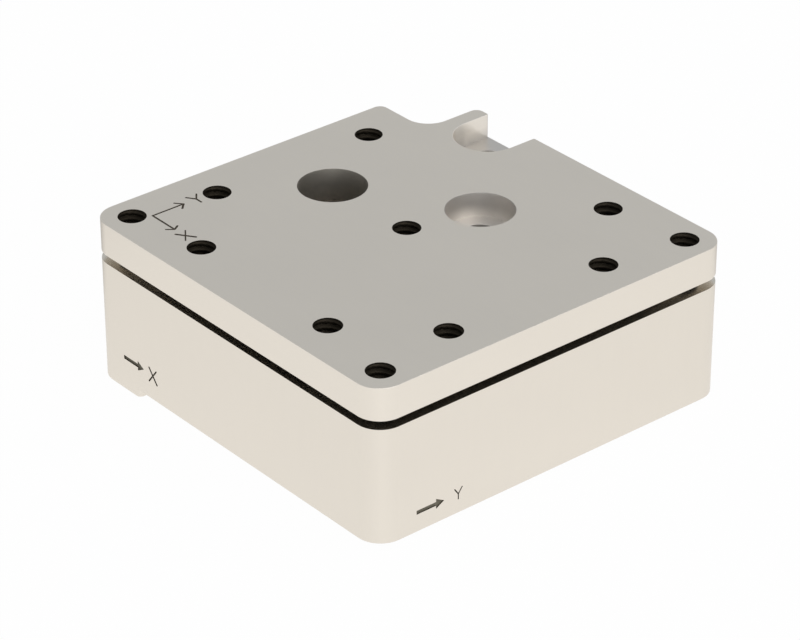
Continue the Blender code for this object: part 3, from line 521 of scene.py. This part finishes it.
class Shell:
    """Surfaces in millimetres, gathered into one closed mesh. A paint is a material's number."""

    def __init__(self):
        self.points, self.faces, self.paints, self.flat, self.rub = [], [], [], [], []
        self.count = 0

    def add(self, points, faces, paint, flat, rub):
        self.points.append(points)
        self.faces += (faces + self.count).tolist()
        self.paints += np.broadcast_to(paint, len(faces)).tolist()
        self.flat += [flat] * len(faces)
        self.rub.append(np.broadcast_to(rub, len(points)))
        self.count += len(points)

    def grid(self, points, paint=0, rub=0.0):
        """A surface of rows and columns, whose last column joins its first.

        Each column may have its own paint, and each row its own rub.
        """
        rows, columns = points.shape[:2]
        paint = np.tile(np.broadcast_to(paint, columns), rows - 1)
        index = np.arange(rows * columns).reshape(rows, columns)
        beside = np.roll(index, -1, axis=1)
        quads = np.stack([index[:-1], beside[:-1], beside[1:], index[1:]], axis=-1)
        rub = np.repeat(np.broadcast_to(rub, rows), columns)
        self.add(points.reshape(-1, 3), quads.reshape(-1, 4), paint, False, rub)

    def level(self, points, triangles, height, paint=0):
        """A flat face at a height."""
        used, inverse = np.unique(triangles, return_inverse=True)
        solid = np.column_stack([points[used], np.full(len(used), height)])
        self.add(solid, inverse.reshape(-1, 3), paint, True, 0.0)

    def walls(self, points, triangles, low, high, paint=0):
        """Upright walls between two heights, on every side that only one of the triangles has."""
        sides = np.concatenate([triangles[:, [0, 1]], triangles[:, [1, 2]], triangles[:, [2, 0]]])
        sides_sorted = np.sort(sides, axis=1)
        _, first, count = np.unique(sides_sorted, axis=0, return_index=True, return_counts=True)
        rim = sides[first[count == 1]]
        corners = points[rim]
        lower = np.concatenate([corners, np.full((len(rim), 2, 1), low)], axis=2)
        upper = np.concatenate([corners[:, ::-1], np.full((len(rim), 2, 1), high)], axis=2)
        quads = np.concatenate([lower, upper], axis=1)
        faces = np.arange(len(rim) * 4).reshape(-1, 4)
        self.add(quads.reshape(-1, 3), faces, paint, True, 0.0)

    def piece(self, name, finishes):
        """Joins equal points, turns every face outwards and makes the object, in metres.

        Light runs smoothly over an edge only where it is blunt and both its faces are curved ones.
        """
        mesh = bpy.data.meshes.new(name)
        mesh.from_pydata(np.concatenate(self.points) * MM, [], self.faces)
        mesh.polygons.foreach_set("material_index", self.paints)
        mesh.polygons.foreach_set("use_smooth", [not flat for flat in self.flat])
        attribute = mesh.attributes.new("rub", "FLOAT", "POINT")
        attribute.data.foreach_set("value", np.concatenate(self.rub).astype(np.float32))
        shape = bmesh.new()
        shape.from_mesh(mesh)
        bmesh.ops.remove_doubles(shape, verts=shape.verts, dist=WELD)
        bmesh.ops.recalc_face_normals(shape, faces=shape.faces)
        for edge in shape.edges:
            round_over = all(face.smooth for face in edge.link_faces)
            edge.smooth = round_over and edge.calc_face_angle(0.0) < SHARP_FROM
        open_sides = sum(1 for edge in shape.edges if len(edge.link_faces) != 2)
        shape.to_mesh(mesh)
        shape.free()
        for made in finishes:
            mesh.materials.append(made)
        made = bpy.data.objects.new(name, mesh)
        bpy.context.scene.collection.objects.link(made)
        print(name, "faces:", len(mesh.polygons), "open sides:", open_sides)
        return made


# %% Profiles taken round a path or an axis
BREAK_POINTS = 5


def lifted(flat, height):
    """Rows of flat points, each row at its own height: (x, y) becomes (x, y, height(i))."""
    level = np.broadcast_to(height[:, None, None], (*flat.shape[:2], 1))
    return np.concatenate([flat, level], axis=2)


def carried(path, normals, profile):
    """A profile of inset and height taken round a path: P(i, j) = path(j) - inset(i) normal(j)."""
    inset, height = np.array(profile, float).T
    return lifted(path[None] - inset[:, None, None] * normals[None], height)


def turned(centre, profile, sides):
    """A profile of radius and height turned round: P(i, j) = centre + r(i) (cos a, sin a)."""
    radius, height = np.array(profile, float).T
    ring = circle((0.0, 0.0), 1.0, sides)
    return lifted(np.array(centre) + radius[:, None, None] * ring[None], height)


def edge_break(height, inward, size):
    """A quarter round of profile points from the level face, inset by size, to the wall.

    With t from 0 to a quarter turn, the inset is size (1 - sin t) and the drop size (1 - cos t).
    """
    turn = np.linspace(0.0, math.pi / 2, BREAK_POINTS)
    inset = size * (1 - np.sin(turn))
    drop = size * (1 - np.cos(turn))
    return np.stack([inset, height + inward * drop], axis=1)


# %% [markdown]
# ## The top plate
#
# The real plate is milled from one piece, 2 mm thick: eleven tapped holes, a clear hole for
# reaching in, a screw seat near its middle, a second seat that is cut open by the rear edge, and
# a square recess out of one corner. The working model has all of that with plain edges. Here the
# round walls get 96 sides, each rim its small broken edge, and each tapped hole a real thread. It
# could also be cut with Booleans, but shared borders give cleaner shading and take a fraction of
# a second.

# %% Sizes of the plate, in millimetres
HALF = 12.5
EDGE = 0.03
RIM = 0.015
CORNER = 1.5
RECESS, RECESS_EDGE = 8.5, 0.5
SLOT_MIDDLE = (-5.5, 10.7)
SLOT_HALF = 2.0
SLOT_ROUND = 1.97
SLOT_CORNER = 0.1
BORE_SIDES = 96
TAP_SIDES = 64
SEAT = (1.0, 4.5)
ACCESS = (-6.5, 0.0)
SEAT_RADIUS, SCREW_RADIUS, TAP_RADIUS = 2.0, 1.0, 0.8

slot_left, slot_right = SLOT_MIDDLE[0] - SLOT_HALF, SLOT_MIDDLE[0] + SLOT_HALF
slot_end = SLOT_MIDDLE[1] - SLOT_HALF
plate_corners = [
    (-HALF, -HALF, CORNER),
    (HALF, -HALF, CORNER),
    (HALF, HALF, CORNER),
    (slot_right, HALF, SLOT_CORNER),
    (slot_right, slot_end, SLOT_ROUND),
    (slot_left, slot_end, SLOT_ROUND),
    (slot_left, HALF, SLOT_CORNER),
    (-RECESS, HALF, RECESS_EDGE),
    (-RECESS, RECESS, CORNER),
    (-HALF, RECESS, RECESS_EDGE),
]
upper_path, upper_normals = rounded_path(plate_corners)
CLOSE = 1e-6
from_slot = np.abs(upper_path[:, 0] - SLOT_MIDDLE[0])
in_slot = (from_slot < SLOT_HALF + SLOT_CORNER - CLOSE) & (upper_path[:, 1] > slot_end - CLOSE)
lower_path, lower_normals = upper_path[~in_slot], upper_normals[~in_slot]
print("points round the plate:", len(upper_path), "of which in the slot:", in_slot.sum())

# %% Where the holes are
BLIND_REACH = 5.2
SCREW_HOLE, PIN_HOLE = (1.05, 9.35), (0.77, 9.25)

tap_places = [(-10.8, -10.8), (10.8, -10.8), (10.8, 10.8), (0.0, 0.0)]
tap_places += [(10.0, 5.5), (10.0, -5.5), (-10.0, 5.5), (-10.0, -5.5)]
tap_places += [(5.5, 10.0), (5.5, -10.0), (-5.5, -10.0)]
both_sides = (-BLIND_REACH, BLIND_REACH)
blind_holes = [((x, y), *SCREW_HOLE) for x in both_sides for y in both_sides]
blind_holes += [((BLIND_REACH, 0.0), *PIN_HOLE), ((0.0, -BLIND_REACH), *PIN_HOLE)]
print("tapped holes:", len(tap_places), "blind holes from below:", len(blind_holes))

# %% [markdown]
# ## The thread of a tapped hole
#
# A thread is one groove that climbs round the wall. Seen as a surface over angle and height it is
# simple: the wall stands at the bore's radius and steps outwards by the thread's depth wherever
# height / pitch - angle / full turn is near a whole number. The groove fades out at both mouths,
# so that the rims stay round.

# %% A thread as a surface of angle and height
PITCH = 0.4
THREAD_DEPTH = 0.17
ROOT, FLANK = 0.25, 0.625
FADE = 0.15
ROWS_A_TURN = 14


def eased(share):
    """3 s^2 - 2 s^3, with s kept from 0 to 1."""
    share = np.clip(share, 0.0, 1.0)
    return share * share * (3 - 2 * share)


def rim_profile(radius, height, inward):
    """The broken rim of a bore: from the level face, wider by RIM, to the bore's wall."""
    inset, level = edge_break(height, inward, RIM).T
    return np.stack([radius + inset, level], axis=1)


def tapped_wall(centre):
    """The wall of a tapped hole, from rim to rim.

    r(z, a) = bore + depth tooth(z / pitch - a / full turn). With c from 0 to 1 over one pitch, the
    tooth is (1 - |2 c - 1| - root) / flank, kept from 0 to 1.
    """
    low, high = PLATE_BOTTOM + RIM, PLATE_TOP - RIM
    rows = int((high - low) / PITCH * ROWS_A_TURN)
    height = np.linspace(low, high, rows)[:, None]
    angle = np.linspace(0.0, math.tau, TAP_SIDES, endpoint=False)[None]
    climb = (height / PITCH - angle / math.tau) % 1.0
    tooth = np.clip((1 - np.abs(2 * climb - 1) - ROOT) / FLANK, 0.0, 1.0)
    fade = eased((height - low) / FADE) * eased((high - height) / FADE)
    radius = TAP_RADIUS + THREAD_DEPTH * tooth * fade
    across, along = centre[0] + radius * np.cos(angle), centre[1] + radius * np.sin(angle)
    wall = np.stack([across, along, np.broadcast_to(height, radius.shape)], axis=2)
    top = turned(centre, rim_profile(TAP_RADIUS, PLATE_TOP, -1)[:-1], TAP_SIDES)
    bottom = turned(centre, rim_profile(TAP_RADIUS, PLATE_BOTTOM, 1)[:-1], TAP_SIDES)
    return np.concatenate([bottom, wall, top[::-1]])


print("turns of thread in a hole:", round((PLATE_TOP - PLATE_BOTTOM) / PITCH, 1))

# %% [markdown]
# ## The engraved marks
#
# Two thin arrows start at one point near the left corner, for the directions X and Y, each with
# its letter. Their strokes go into the same triangulation as the plate's outline and its holes,
# so each stroke is a real groove two hundredths of a millimetre deep, with a dark floor.

# %% Strokes on the top face
ARROW_LINE = 0.125
ENGRAVED_DEPTH = 0.02

top_arrows = [
    ((-10.12, -9.89), (-10.12, -7.75)),
    ((-10.12, -7.75), (-10.52, -8.1)),
    ((-10.12, -7.75), (-9.74, -8.12)),
    ((-10.12, -9.89), (-8.07, -9.9)),
    ((-8.07, -9.9), (-8.37, -10.27)),
    ((-8.07, -9.9), (-8.3, -9.54)),
]
top_letters = [
    ((-10.62, -7.2), (-10.12, -6.86), 0.135),
    ((-10.6, -6.5), (-10.12, -6.86), 0.1),
    ((-10.12, -6.86), (-9.67, -6.86), 0.125),
    ((-7.58, -10.19), (-6.63, -9.52), 0.15),
    ((-7.6, -9.52), (-6.67, -10.2), 0.085),
]
top_marks = [capsule(start, end, ARROW_LINE) for start, end in top_arrows]
top_marks += [capsule(start, end, width) for start, end, width in top_letters]
print("strokes on the top:", len(top_marks))

# %% [markdown]
# ## The plate's surfaces
#
# The side is one outline carried down in two bands, because the slot goes only as deep as the
# seats. The bores are profiles turned about their axes. The level faces then fill what is left
# between the loops on which those surfaces end.

# %% The side
PAINT_METAL, PAINT_THREAD, PAINT_MARK, PAINT_SEAT, PAINT_SLOT, PAINT_ACCESS, PAINT_UNDER = range(7)
RUBBED = np.array([0.0, 1.0, 1.0, 1.0, 0.6, 0.0, 0.0])


def add_side(shell):
    """The outline carried down, from the top's broken edge to the underside's."""
    top_edge = edge_break(PLATE_TOP, -1, EDGE)
    bottom_edge = edge_break(PLATE_BOTTOM, 1, EDGE)
    high_wall = [(0.0, PLATE_TOP - EDGE - SUPPORT), (0.0, SEAT_FLOOR)]
    low_wall = [(0.0, SEAT_FLOOR), (0.0, PLATE_BOTTOM + EDGE + SUPPORT)]
    upper = np.concatenate([top_edge, high_wall])
    lower = np.concatenate([low_wall, bottom_edge[::-1]])
    side_paint = np.where(in_slot, PAINT_SLOT, PAINT_METAL)
    shell.grid(carried(upper_path, upper_normals, upper), side_paint, RUBBED)
    shell.grid(carried(lower_path, lower_normals, lower), PAINT_METAL, RUBBED[::-1])


# %% The bores


def add_bores(shell):
    """The walls of the access hole, the two screw seats, the tapped holes and the blind holes."""
    top_rim = rim_profile(SEAT_RADIUS, PLATE_TOP, -1)
    through = np.concatenate([top_rim, rim_profile(SEAT_RADIUS, PLATE_BOTTOM, 1)[::-1]])
    seat = np.concatenate([top_rim, [(SEAT_RADIUS, SEAT_FLOOR)]])
    passage_top = rim_profile(SCREW_RADIUS, SEAT_FLOOR, -1)
    passage = np.concatenate([passage_top, rim_profile(SCREW_RADIUS, PLATE_BOTTOM, 1)[::-1]])
    shell.grid(turned(ACCESS, through, BORE_SIDES), PAINT_ACCESS)
    shell.grid(turned(SEAT, seat, BORE_SIDES), PAINT_SEAT)
    shell.grid(turned(SEAT, passage, BORE_SIDES), PAINT_SEAT)
    shell.grid(turned(SLOT_MIDDLE, passage, BORE_SIDES), PAINT_SEAT)
    for place in tap_places:
        shell.grid(tapped_wall(place), PAINT_THREAD)
    for place, radius, ceiling in blind_holes:
        profile = [(radius, PLATE_BOTTOM), (radius, ceiling), (0.0, ceiling)]
        shell.grid(turned(place, profile, TAP_SIDES), PAINT_METAL)


# %% The level faces


def rims(places, radius, sides):
    """The loops on which bores of one size meet a level face."""
    return [circle(place, radius + RIM, sides) for place in places]


def add_level(shell, outline, bores, height, paint):
    """The level face inside an outline and outside its bores."""
    points, triangles, middles = lay_out([outline, *bores])
    face = within(outline, middles) & ~within_any(bores, middles)
    shell.level(points, triangles[face], height, paint)


def add_top(shell):
    """The top face, with each engraved stroke as a floor a little lower and walls round it."""
    outline = upper_path - upper_normals * EDGE
    bores = rims((SEAT, ACCESS), SEAT_RADIUS, BORE_SIDES) + rims(tap_places, TAP_RADIUS, TAP_SIDES)
    points, triangles, middles = lay_out([outline, *bores, *top_marks])
    marked = within_any(top_marks, middles)
    face = within(outline, middles) & ~within_any(bores, middles) & ~marked
    groove = PLATE_TOP - ENGRAVED_DEPTH
    shell.level(points, triangles[face], PLATE_TOP, PAINT_METAL)
    shell.level(points, triangles[marked], groove, PAINT_MARK)
    shell.walls(points, triangles[marked], groove, PLATE_TOP, PAINT_MARK)


def add_underside(shell):
    bores = rims([ACCESS], SEAT_RADIUS, BORE_SIDES)
    bores += rims((SEAT, SLOT_MIDDLE), SCREW_RADIUS, BORE_SIDES)
    bores += rims(tap_places, TAP_RADIUS, TAP_SIDES)
    bores += [circle(place, radius, TAP_SIDES) for place, radius, _ in blind_holes]
    # The underside takes the darker finish: painted shade for the gap.
    add_level(shell, lower_path - lower_normals * EDGE, bores, PLATE_BOTTOM, PAINT_UNDER)


def add_seat_floors(shell):
    """The floor of the round seat and that of the slot, whose loop is its part of the path."""
    passage = rims([SEAT], SCREW_RADIUS, BORE_SIDES)
    add_level(shell, circle(SEAT, SEAT_RADIUS, BORE_SIDES), passage, SEAT_FLOOR, PAINT_SEAT)
    first = np.flatnonzero(in_slot)[0] - 1
    slot_rim = upper_path[first : first + in_slot.sum() + 2]
    passage = rims([SLOT_MIDDLE], SCREW_RADIUS, BORE_SIDES)
    add_level(shell, slot_rim, passage, SEAT_FLOOR, PAINT_SLOT)


# %% Build the plate
plate_shell = Shell()
for add in (add_side, add_bores, add_top, add_underside, add_seat_floors):
    add(plate_shell)
plate_finishes = [plate_metal, thread_painted_shade_finish, mark_finish]
plate_finishes += [seat_painted_light_and_shade, slot_painted_light_and_shade, access_painted_light_and_shade, underside_painted_shade]
plate = plate_shell.piece("drilled_plate", plate_finishes)
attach(plate, "y_stage")
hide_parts("top_plate")

# %% [markdown]
# ## The base
#
# The base's shape in the working model is already right, with its broken edges, its cavity and
# the low foot under the left corner. It only lacks smooth light round its corners, the ground
# finish of its top, and the marks on its two front faces. So a copy of its mesh has its equal
# points joined, and the marks are cut into it with a Boolean, whose cutter brings its own dark
# material to the new faces. Rounding the light is a matter of normals: those at the four corners
# point straight out from the corner's axis, and all others stay square to their face.

# %% Marks of the two front faces, as flat strokes
BLOCK_SHAFT = 0.24
BLOCK_HEAD = 0.62
BLOCK_DEPTH = 0.08
CUT_OUTSIDE = 0.1
X_DOWNSTROKE, X_UPSTROKE = 0.13, 0.1
Y_LINE = 0.075


def block_arrow(tail, neck, tip, height):
    """The outline of a thick arrow that points along the first axis, at a height."""
    shaft, head = BLOCK_SHAFT / 2, BLOCK_HEAD / 2
    across = [-shaft, -shaft, -head, 0.0, head, shaft, shaft]
    along = [tail, neck, neck, tip, neck, neck, tail]
    return np.column_stack([along, np.array(across) + height])


left_marks = [
    block_arrow(-9.76, -8.46, -7.9, 2.08),
    capsule((-7.38, 2.46), (-6.7, 1.6), X_DOWNSTROKE),
    capsule((-6.72, 2.46), (-7.42, 1.58), X_UPSTROKE),
]
right_marks = [
    block_arrow(-9.79, -8.45, -7.89, 1.68),
    capsule((-7.16, 2.03), (-6.91, 1.67), Y_LINE),
    capsule((-6.65, 2.03), (-6.91, 1.67), Y_LINE),
    capsule((-6.91, 1.67), (-6.91, 1.36), Y_LINE),
]


def mark_cutter(name, marks, stand):
    """The strokes as a solid, from inside a face to a little outside it, stood up by `stand`."""
    points, triangles, middles = lay_out(marks)
    marked = triangles[within_any(marks, middles)]
    inside, outside = HALF - BLOCK_DEPTH, HALF + CUT_OUTSIDE
    shell = Shell()
    # The groove's floor takes the lighter finish and its walls the darker one: painted light on
    # the floor, painted shade on the walls.
    shell.level(points, marked, inside, 1)
    shell.level(points, marked, outside)
    shell.walls(points, marked, inside, outside)
    shell.points = [stand(part) for part in shell.points]
    return shell.piece(name, [mark_finish, mark_floor_painted_light])


def onto_left(points):
    """A flat drawing of X and Z, with its height taken out along -Y."""
    return np.stack([points[:, 0], -points[:, 2], points[:, 1]], axis=1)


def onto_right(points):
    """A flat drawing of Y and Z, with its height taken out along +X."""
    return np.stack([points[:, 2], points[:, 0], points[:, 1]], axis=1)


print("strokes on the two faces:", len(left_marks), len(right_marks))

# %% A copy of the base's mesh, and its modifiers


def joined_copy(name, node):
    """A copy of a node's mesh with its equal points joined, as a new piece."""
    shape = bmesh.new()
    shape.from_mesh(frame["nodes"][node].data)
    bmesh.ops.remove_doubles(shape, verts=shape.verts, dist=WELD)
    mesh = bpy.data.meshes.new(name)
    shape.to_mesh(mesh)
    shape.free()
    made = bpy.data.objects.new(name, mesh)
    bpy.context.scene.collection.objects.link(made)
    return made


def apply_modifiers(piece):
    """Makes what the modifiers show the piece's own mesh."""
    graph = bpy.context.evaluated_depsgraph_get()
    mesh = bpy.data.meshes.new_from_object(piece.evaluated_get(graph))
    piece.modifiers.clear()
    piece.data = mesh


# %% Smooth light round the corners
SLACK = 0.01
UPRIGHT, SQUARE_ON = 0.1, 0.9999


def round_the_corners(mesh):
    """Gives every face its flat normal, but the four outer corners normals out from their axes.

    A point at (x, y) near the corner's axis c gets the normal (x - c, y - c) / radius.
    """
    corner_count = len(mesh.loops)
    vertex_of_corner = np.empty(corner_count, np.int32)
    mesh.loops.foreach_get("vertex_index", vertex_of_corner)
    face_sizes = np.empty(len(mesh.polygons), np.int32)
    mesh.polygons.foreach_get("loop_total", face_sizes)
    face_normals = np.empty(len(mesh.polygons) * 3, np.float32)
    mesh.polygons.foreach_get("normal", face_normals)
    places = np.empty(len(mesh.vertices) * 3, np.float32)
    mesh.vertices.foreach_get("co", places)
    normals = np.repeat(face_normals.reshape(-1, 3), face_sizes, axis=0)
    flat = places.reshape(-1, 3)[vertex_of_corner, :2] / MM
    axis = np.sign(flat) * (HALF - CORNER)
    spoke = flat - axis
    reach = np.linalg.norm(spoke, axis=1)
    turning = np.abs(normals[:, :2]).max(axis=1) < SQUARE_ON
    on_corner = turning & (np.abs(normals[:, 2]) < UPRIGHT) & (np.abs(reach - CORNER) < SLACK)
    on_corner &= (np.abs(flat) > HALF - CORNER - SLACK).all(axis=1)
    normals[on_corner, :2] = spoke[on_corner] / reach[on_corner, None]
    normals[on_corner, 2] = 0.0
    mesh.shade_smooth()
    mesh.normals_split_custom_set(normals.tolist())
    print("corner normals rounded:", int(on_corner.sum()), "of", corner_count)


# %% Build the base
BODY_TOP = 7.5
TOP_SLACK, FACES_UP = 0.001, 0.99


def build_base():
    base = joined_copy("marked_base", "base_frame")
    base.data.materials.append(base_metal)
    base.data.materials.append(land_finish)
    for face in base.data.polygons:
        if face.center.z > (BODY_TOP - TOP_SLACK) * MM and face.normal.z > FACES_UP:
            face.material_index = 1
    cutters = [
        mark_cutter("left_cutter", left_marks, onto_left),
        mark_cutter("right_cutter", right_marks, onto_right),
    ]
    for cutter in cutters:
        step = base.modifiers.new(cutter.name, "BOOLEAN")
        step.operation = "DIFFERENCE"
        step.solver = "EXACT"
        step.material_mode = "TRANSFER"
        step.object = cutter
    apply_modifiers(base)
    for cutter in cutters:
        bpy.data.objects.remove(cutter, do_unlink=True)
    round_the_corners(base.data)
    print("marked_base faces:", len(base.data.polygons), "materials:", len(base.data.materials))
    return base


base = build_base()
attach(base, "base")
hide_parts("base_frame")

# %% [markdown]
# ## Floor, light and background
#
# The photograph is a cut-out: plain white all round, and hardly any shadow. A satin metal shows
# what is round it, so the room matters more than the lamps. Here the floor and the low horizon
# are white, which the upright faces mirror, and the sky is a soft grey, which the top face
# mirrors. That is why the same metal looks cream on its sides and grey on top. To the camera,
# floor and room are white.

# %% The floor
# These stops paint the floor grey beyond the stage in mirrored light: painted shade.
MIRRORED_FLOOR_SHADE_STOPS = [(0.0, 1.0), (0.36, 1.0), (0.7, 0.55), (1.0, 0.55)]
FLOOR_REACH = 20.0 * MM
FLOOR_PAINT = (0.8, 0.8, 0.8, 1.0)
WHITE = (1.0, 1.0, 1.0, 1.0)
FLOOR_SIDE = 4.0
FLOOR_GAP = 0.01 * MM
FLOOR_SHADE = 0.02
FAR_SIDE = (-0.77, 0.64, 0.0)


def floor_finish():
    """White to the camera and in mirrored light, with a share of diffuse white for the shadow.

    In mirrored light the floor's white is painted darker beyond the stage, a painted shade
    standing in for less of the lamps' light landing there. Mirrored in the metal, that draws a
    faint grey line along the two outer corners. From below the floor is clear, so that the stage's
    underside can be looked at.
    """
    made = bpy.data.materials.new("floor_white")
    made.use_nodes = True
    tree = made.node_tree
    tree.nodes.clear()
    wire = Wire(tree)
    seen = wire.node("ShaderNodeLightPath", output="Is Camera Ray")
    mirrored = wire.node("ShaderNodeLightPath", output="Is Glossy Ray")
    through = wire.node("ShaderNodeLightPath", output="Is Transmission Ray")
    plain = wire.node("ShaderNodeBsdfDiffuse", None, {"Color": FLOOR_PAINT})
    along = {0: place_of(wire), 1: FAR_SIDE}
    away = wire.node("ShaderNodeVectorMath", {"operation": "DOT_PRODUCT"}, along, 1)
    ramp = wire.node("ShaderNodeValToRGB", {"stops": MIRRORED_FLOOR_SHADE_STOPS}, {"Fac": away / FLOOR_REACH})
    shades = {"Factor": mirrored, 6: WHITE, 7: ramp}
    shown = wire.node("ShaderNodeMix", {"data_type": "RGBA"}, shades, 2)
    glow = wire.node("ShaderNodeEmission", None, {"Color": shown, "Strength": 1.0})
    share = wire.sum("MINIMUM", seen * (1.0 - FLOOR_SHADE) + mirrored + through, 1.0)
    floor = wire.node("ShaderNodeMixShader", None, {0: share, 1: plain, 2: glow})
    from_below = wire.node("ShaderNodeNewGeometry", output="Backfacing") * seen
    clear = wire.node("ShaderNodeBsdfTransparent")
    mixed = wire.node("ShaderNodeMixShader", None, {0: from_below, 1: floor, 2: clear})
    out = tree.nodes.new("ShaderNodeOutputMaterial")
    tree.links.new(mixed.socket, out.inputs["Surface"])
    return made


half_side = FLOOR_SIDE / 2
floor_mesh = bpy.data.meshes.new("floor")
corner_signs = ((-1, -1), (1, -1), (1, 1), (-1, 1))
floor_corners = [(x * half_side, y * half_side, -FLOOR_GAP) for x, y in corner_signs]
floor_mesh.from_pydata(floor_corners, [], [(0, 1, 2, 3)])
floor_mesh.materials.append(floor_finish())
floor = bpy.data.objects.new("floor", floor_mesh)
bpy.context.scene.collection.objects.link(floor)
print("floor side in metres:", FLOOR_SIDE)

# %% The room round it
HORIZON, SKY = (1.0, 1.0, 1.0), (0.555, 0.577, 0.6)
ROOM_STOPS = [(0.0, HORIZON), (0.06, HORIZON), (0.22, SKY), (1.0, SKY)]


def build_room():
    """A white horizon under a grey sky, and plain white where the camera sees it."""
    room = bpy.data.worlds.new("room")
    bpy.context.scene.world = room
    room.use_nodes = True
    tree = room.node_tree
    tree.nodes.clear()
    wire = Wire(tree)
    direction = wire.node("ShaderNodeTexCoord", output="Generated")
    height = wire.node("ShaderNodeSeparateXYZ", None, {"Vector": direction}, output="Z")
    sky = wire.node("ShaderNodeValToRGB", {"stops": ROOM_STOPS}, {"Fac": height})
    seen = wire.node("ShaderNodeLightPath", output="Is Camera Ray")
    lit = wire.node("ShaderNodeBackground", None, {"Color": sky, "Strength": 1.0})
    white = wire.node("ShaderNodeBackground", None, {"Color": WHITE, "Strength": 1.0})
    mixed = wire.node("ShaderNodeMixShader", None, {0: seen, 1: lit, 2: white})
    out = tree.nodes.new("ShaderNodeOutputWorld")
    tree.links.new(mixed.socket, out.inputs["Surface"])
    return room


print("room:", build_room().name, "with a sky of", SKY)

# %% [markdown]
# ## Two soft lamps
#
# A large square lamp high over the right side lights the right face a little more than the left,
# and gives the bores their light sides. A smaller one stands low in front of the near corner and
# lifts it. Both are far larger than the stage, so no edge throws a hard shadow.

# %% Soft lamps


def soft_lamp(name, place, side, power):
    """A square lamp that faces the middle of the stage."""
    lamp = bpy.data.lights.new(name, "AREA")
    lamp.shape = "SQUARE"
    lamp.size = side
    lamp.energy = power
    made = bpy.data.objects.new(name, lamp)
    made.location = place
    made.rotation_mode = "QUATERNION"
    made.rotation_quaternion = (-Vector(place)).to_track_quat("-Z", "Y")
    bpy.context.scene.collection.objects.link(made)
    print(name, "watts:", power)


soft_lamp("key_lamp", (0.745, 0.05, 0.68), side=0.9, power=3.6)
soft_lamp("front_lamp", (0.76, -0.64, 0.1), side=0.5, power=1.5)
bpy.context.scene.view_settings.view_transform = "Standard"
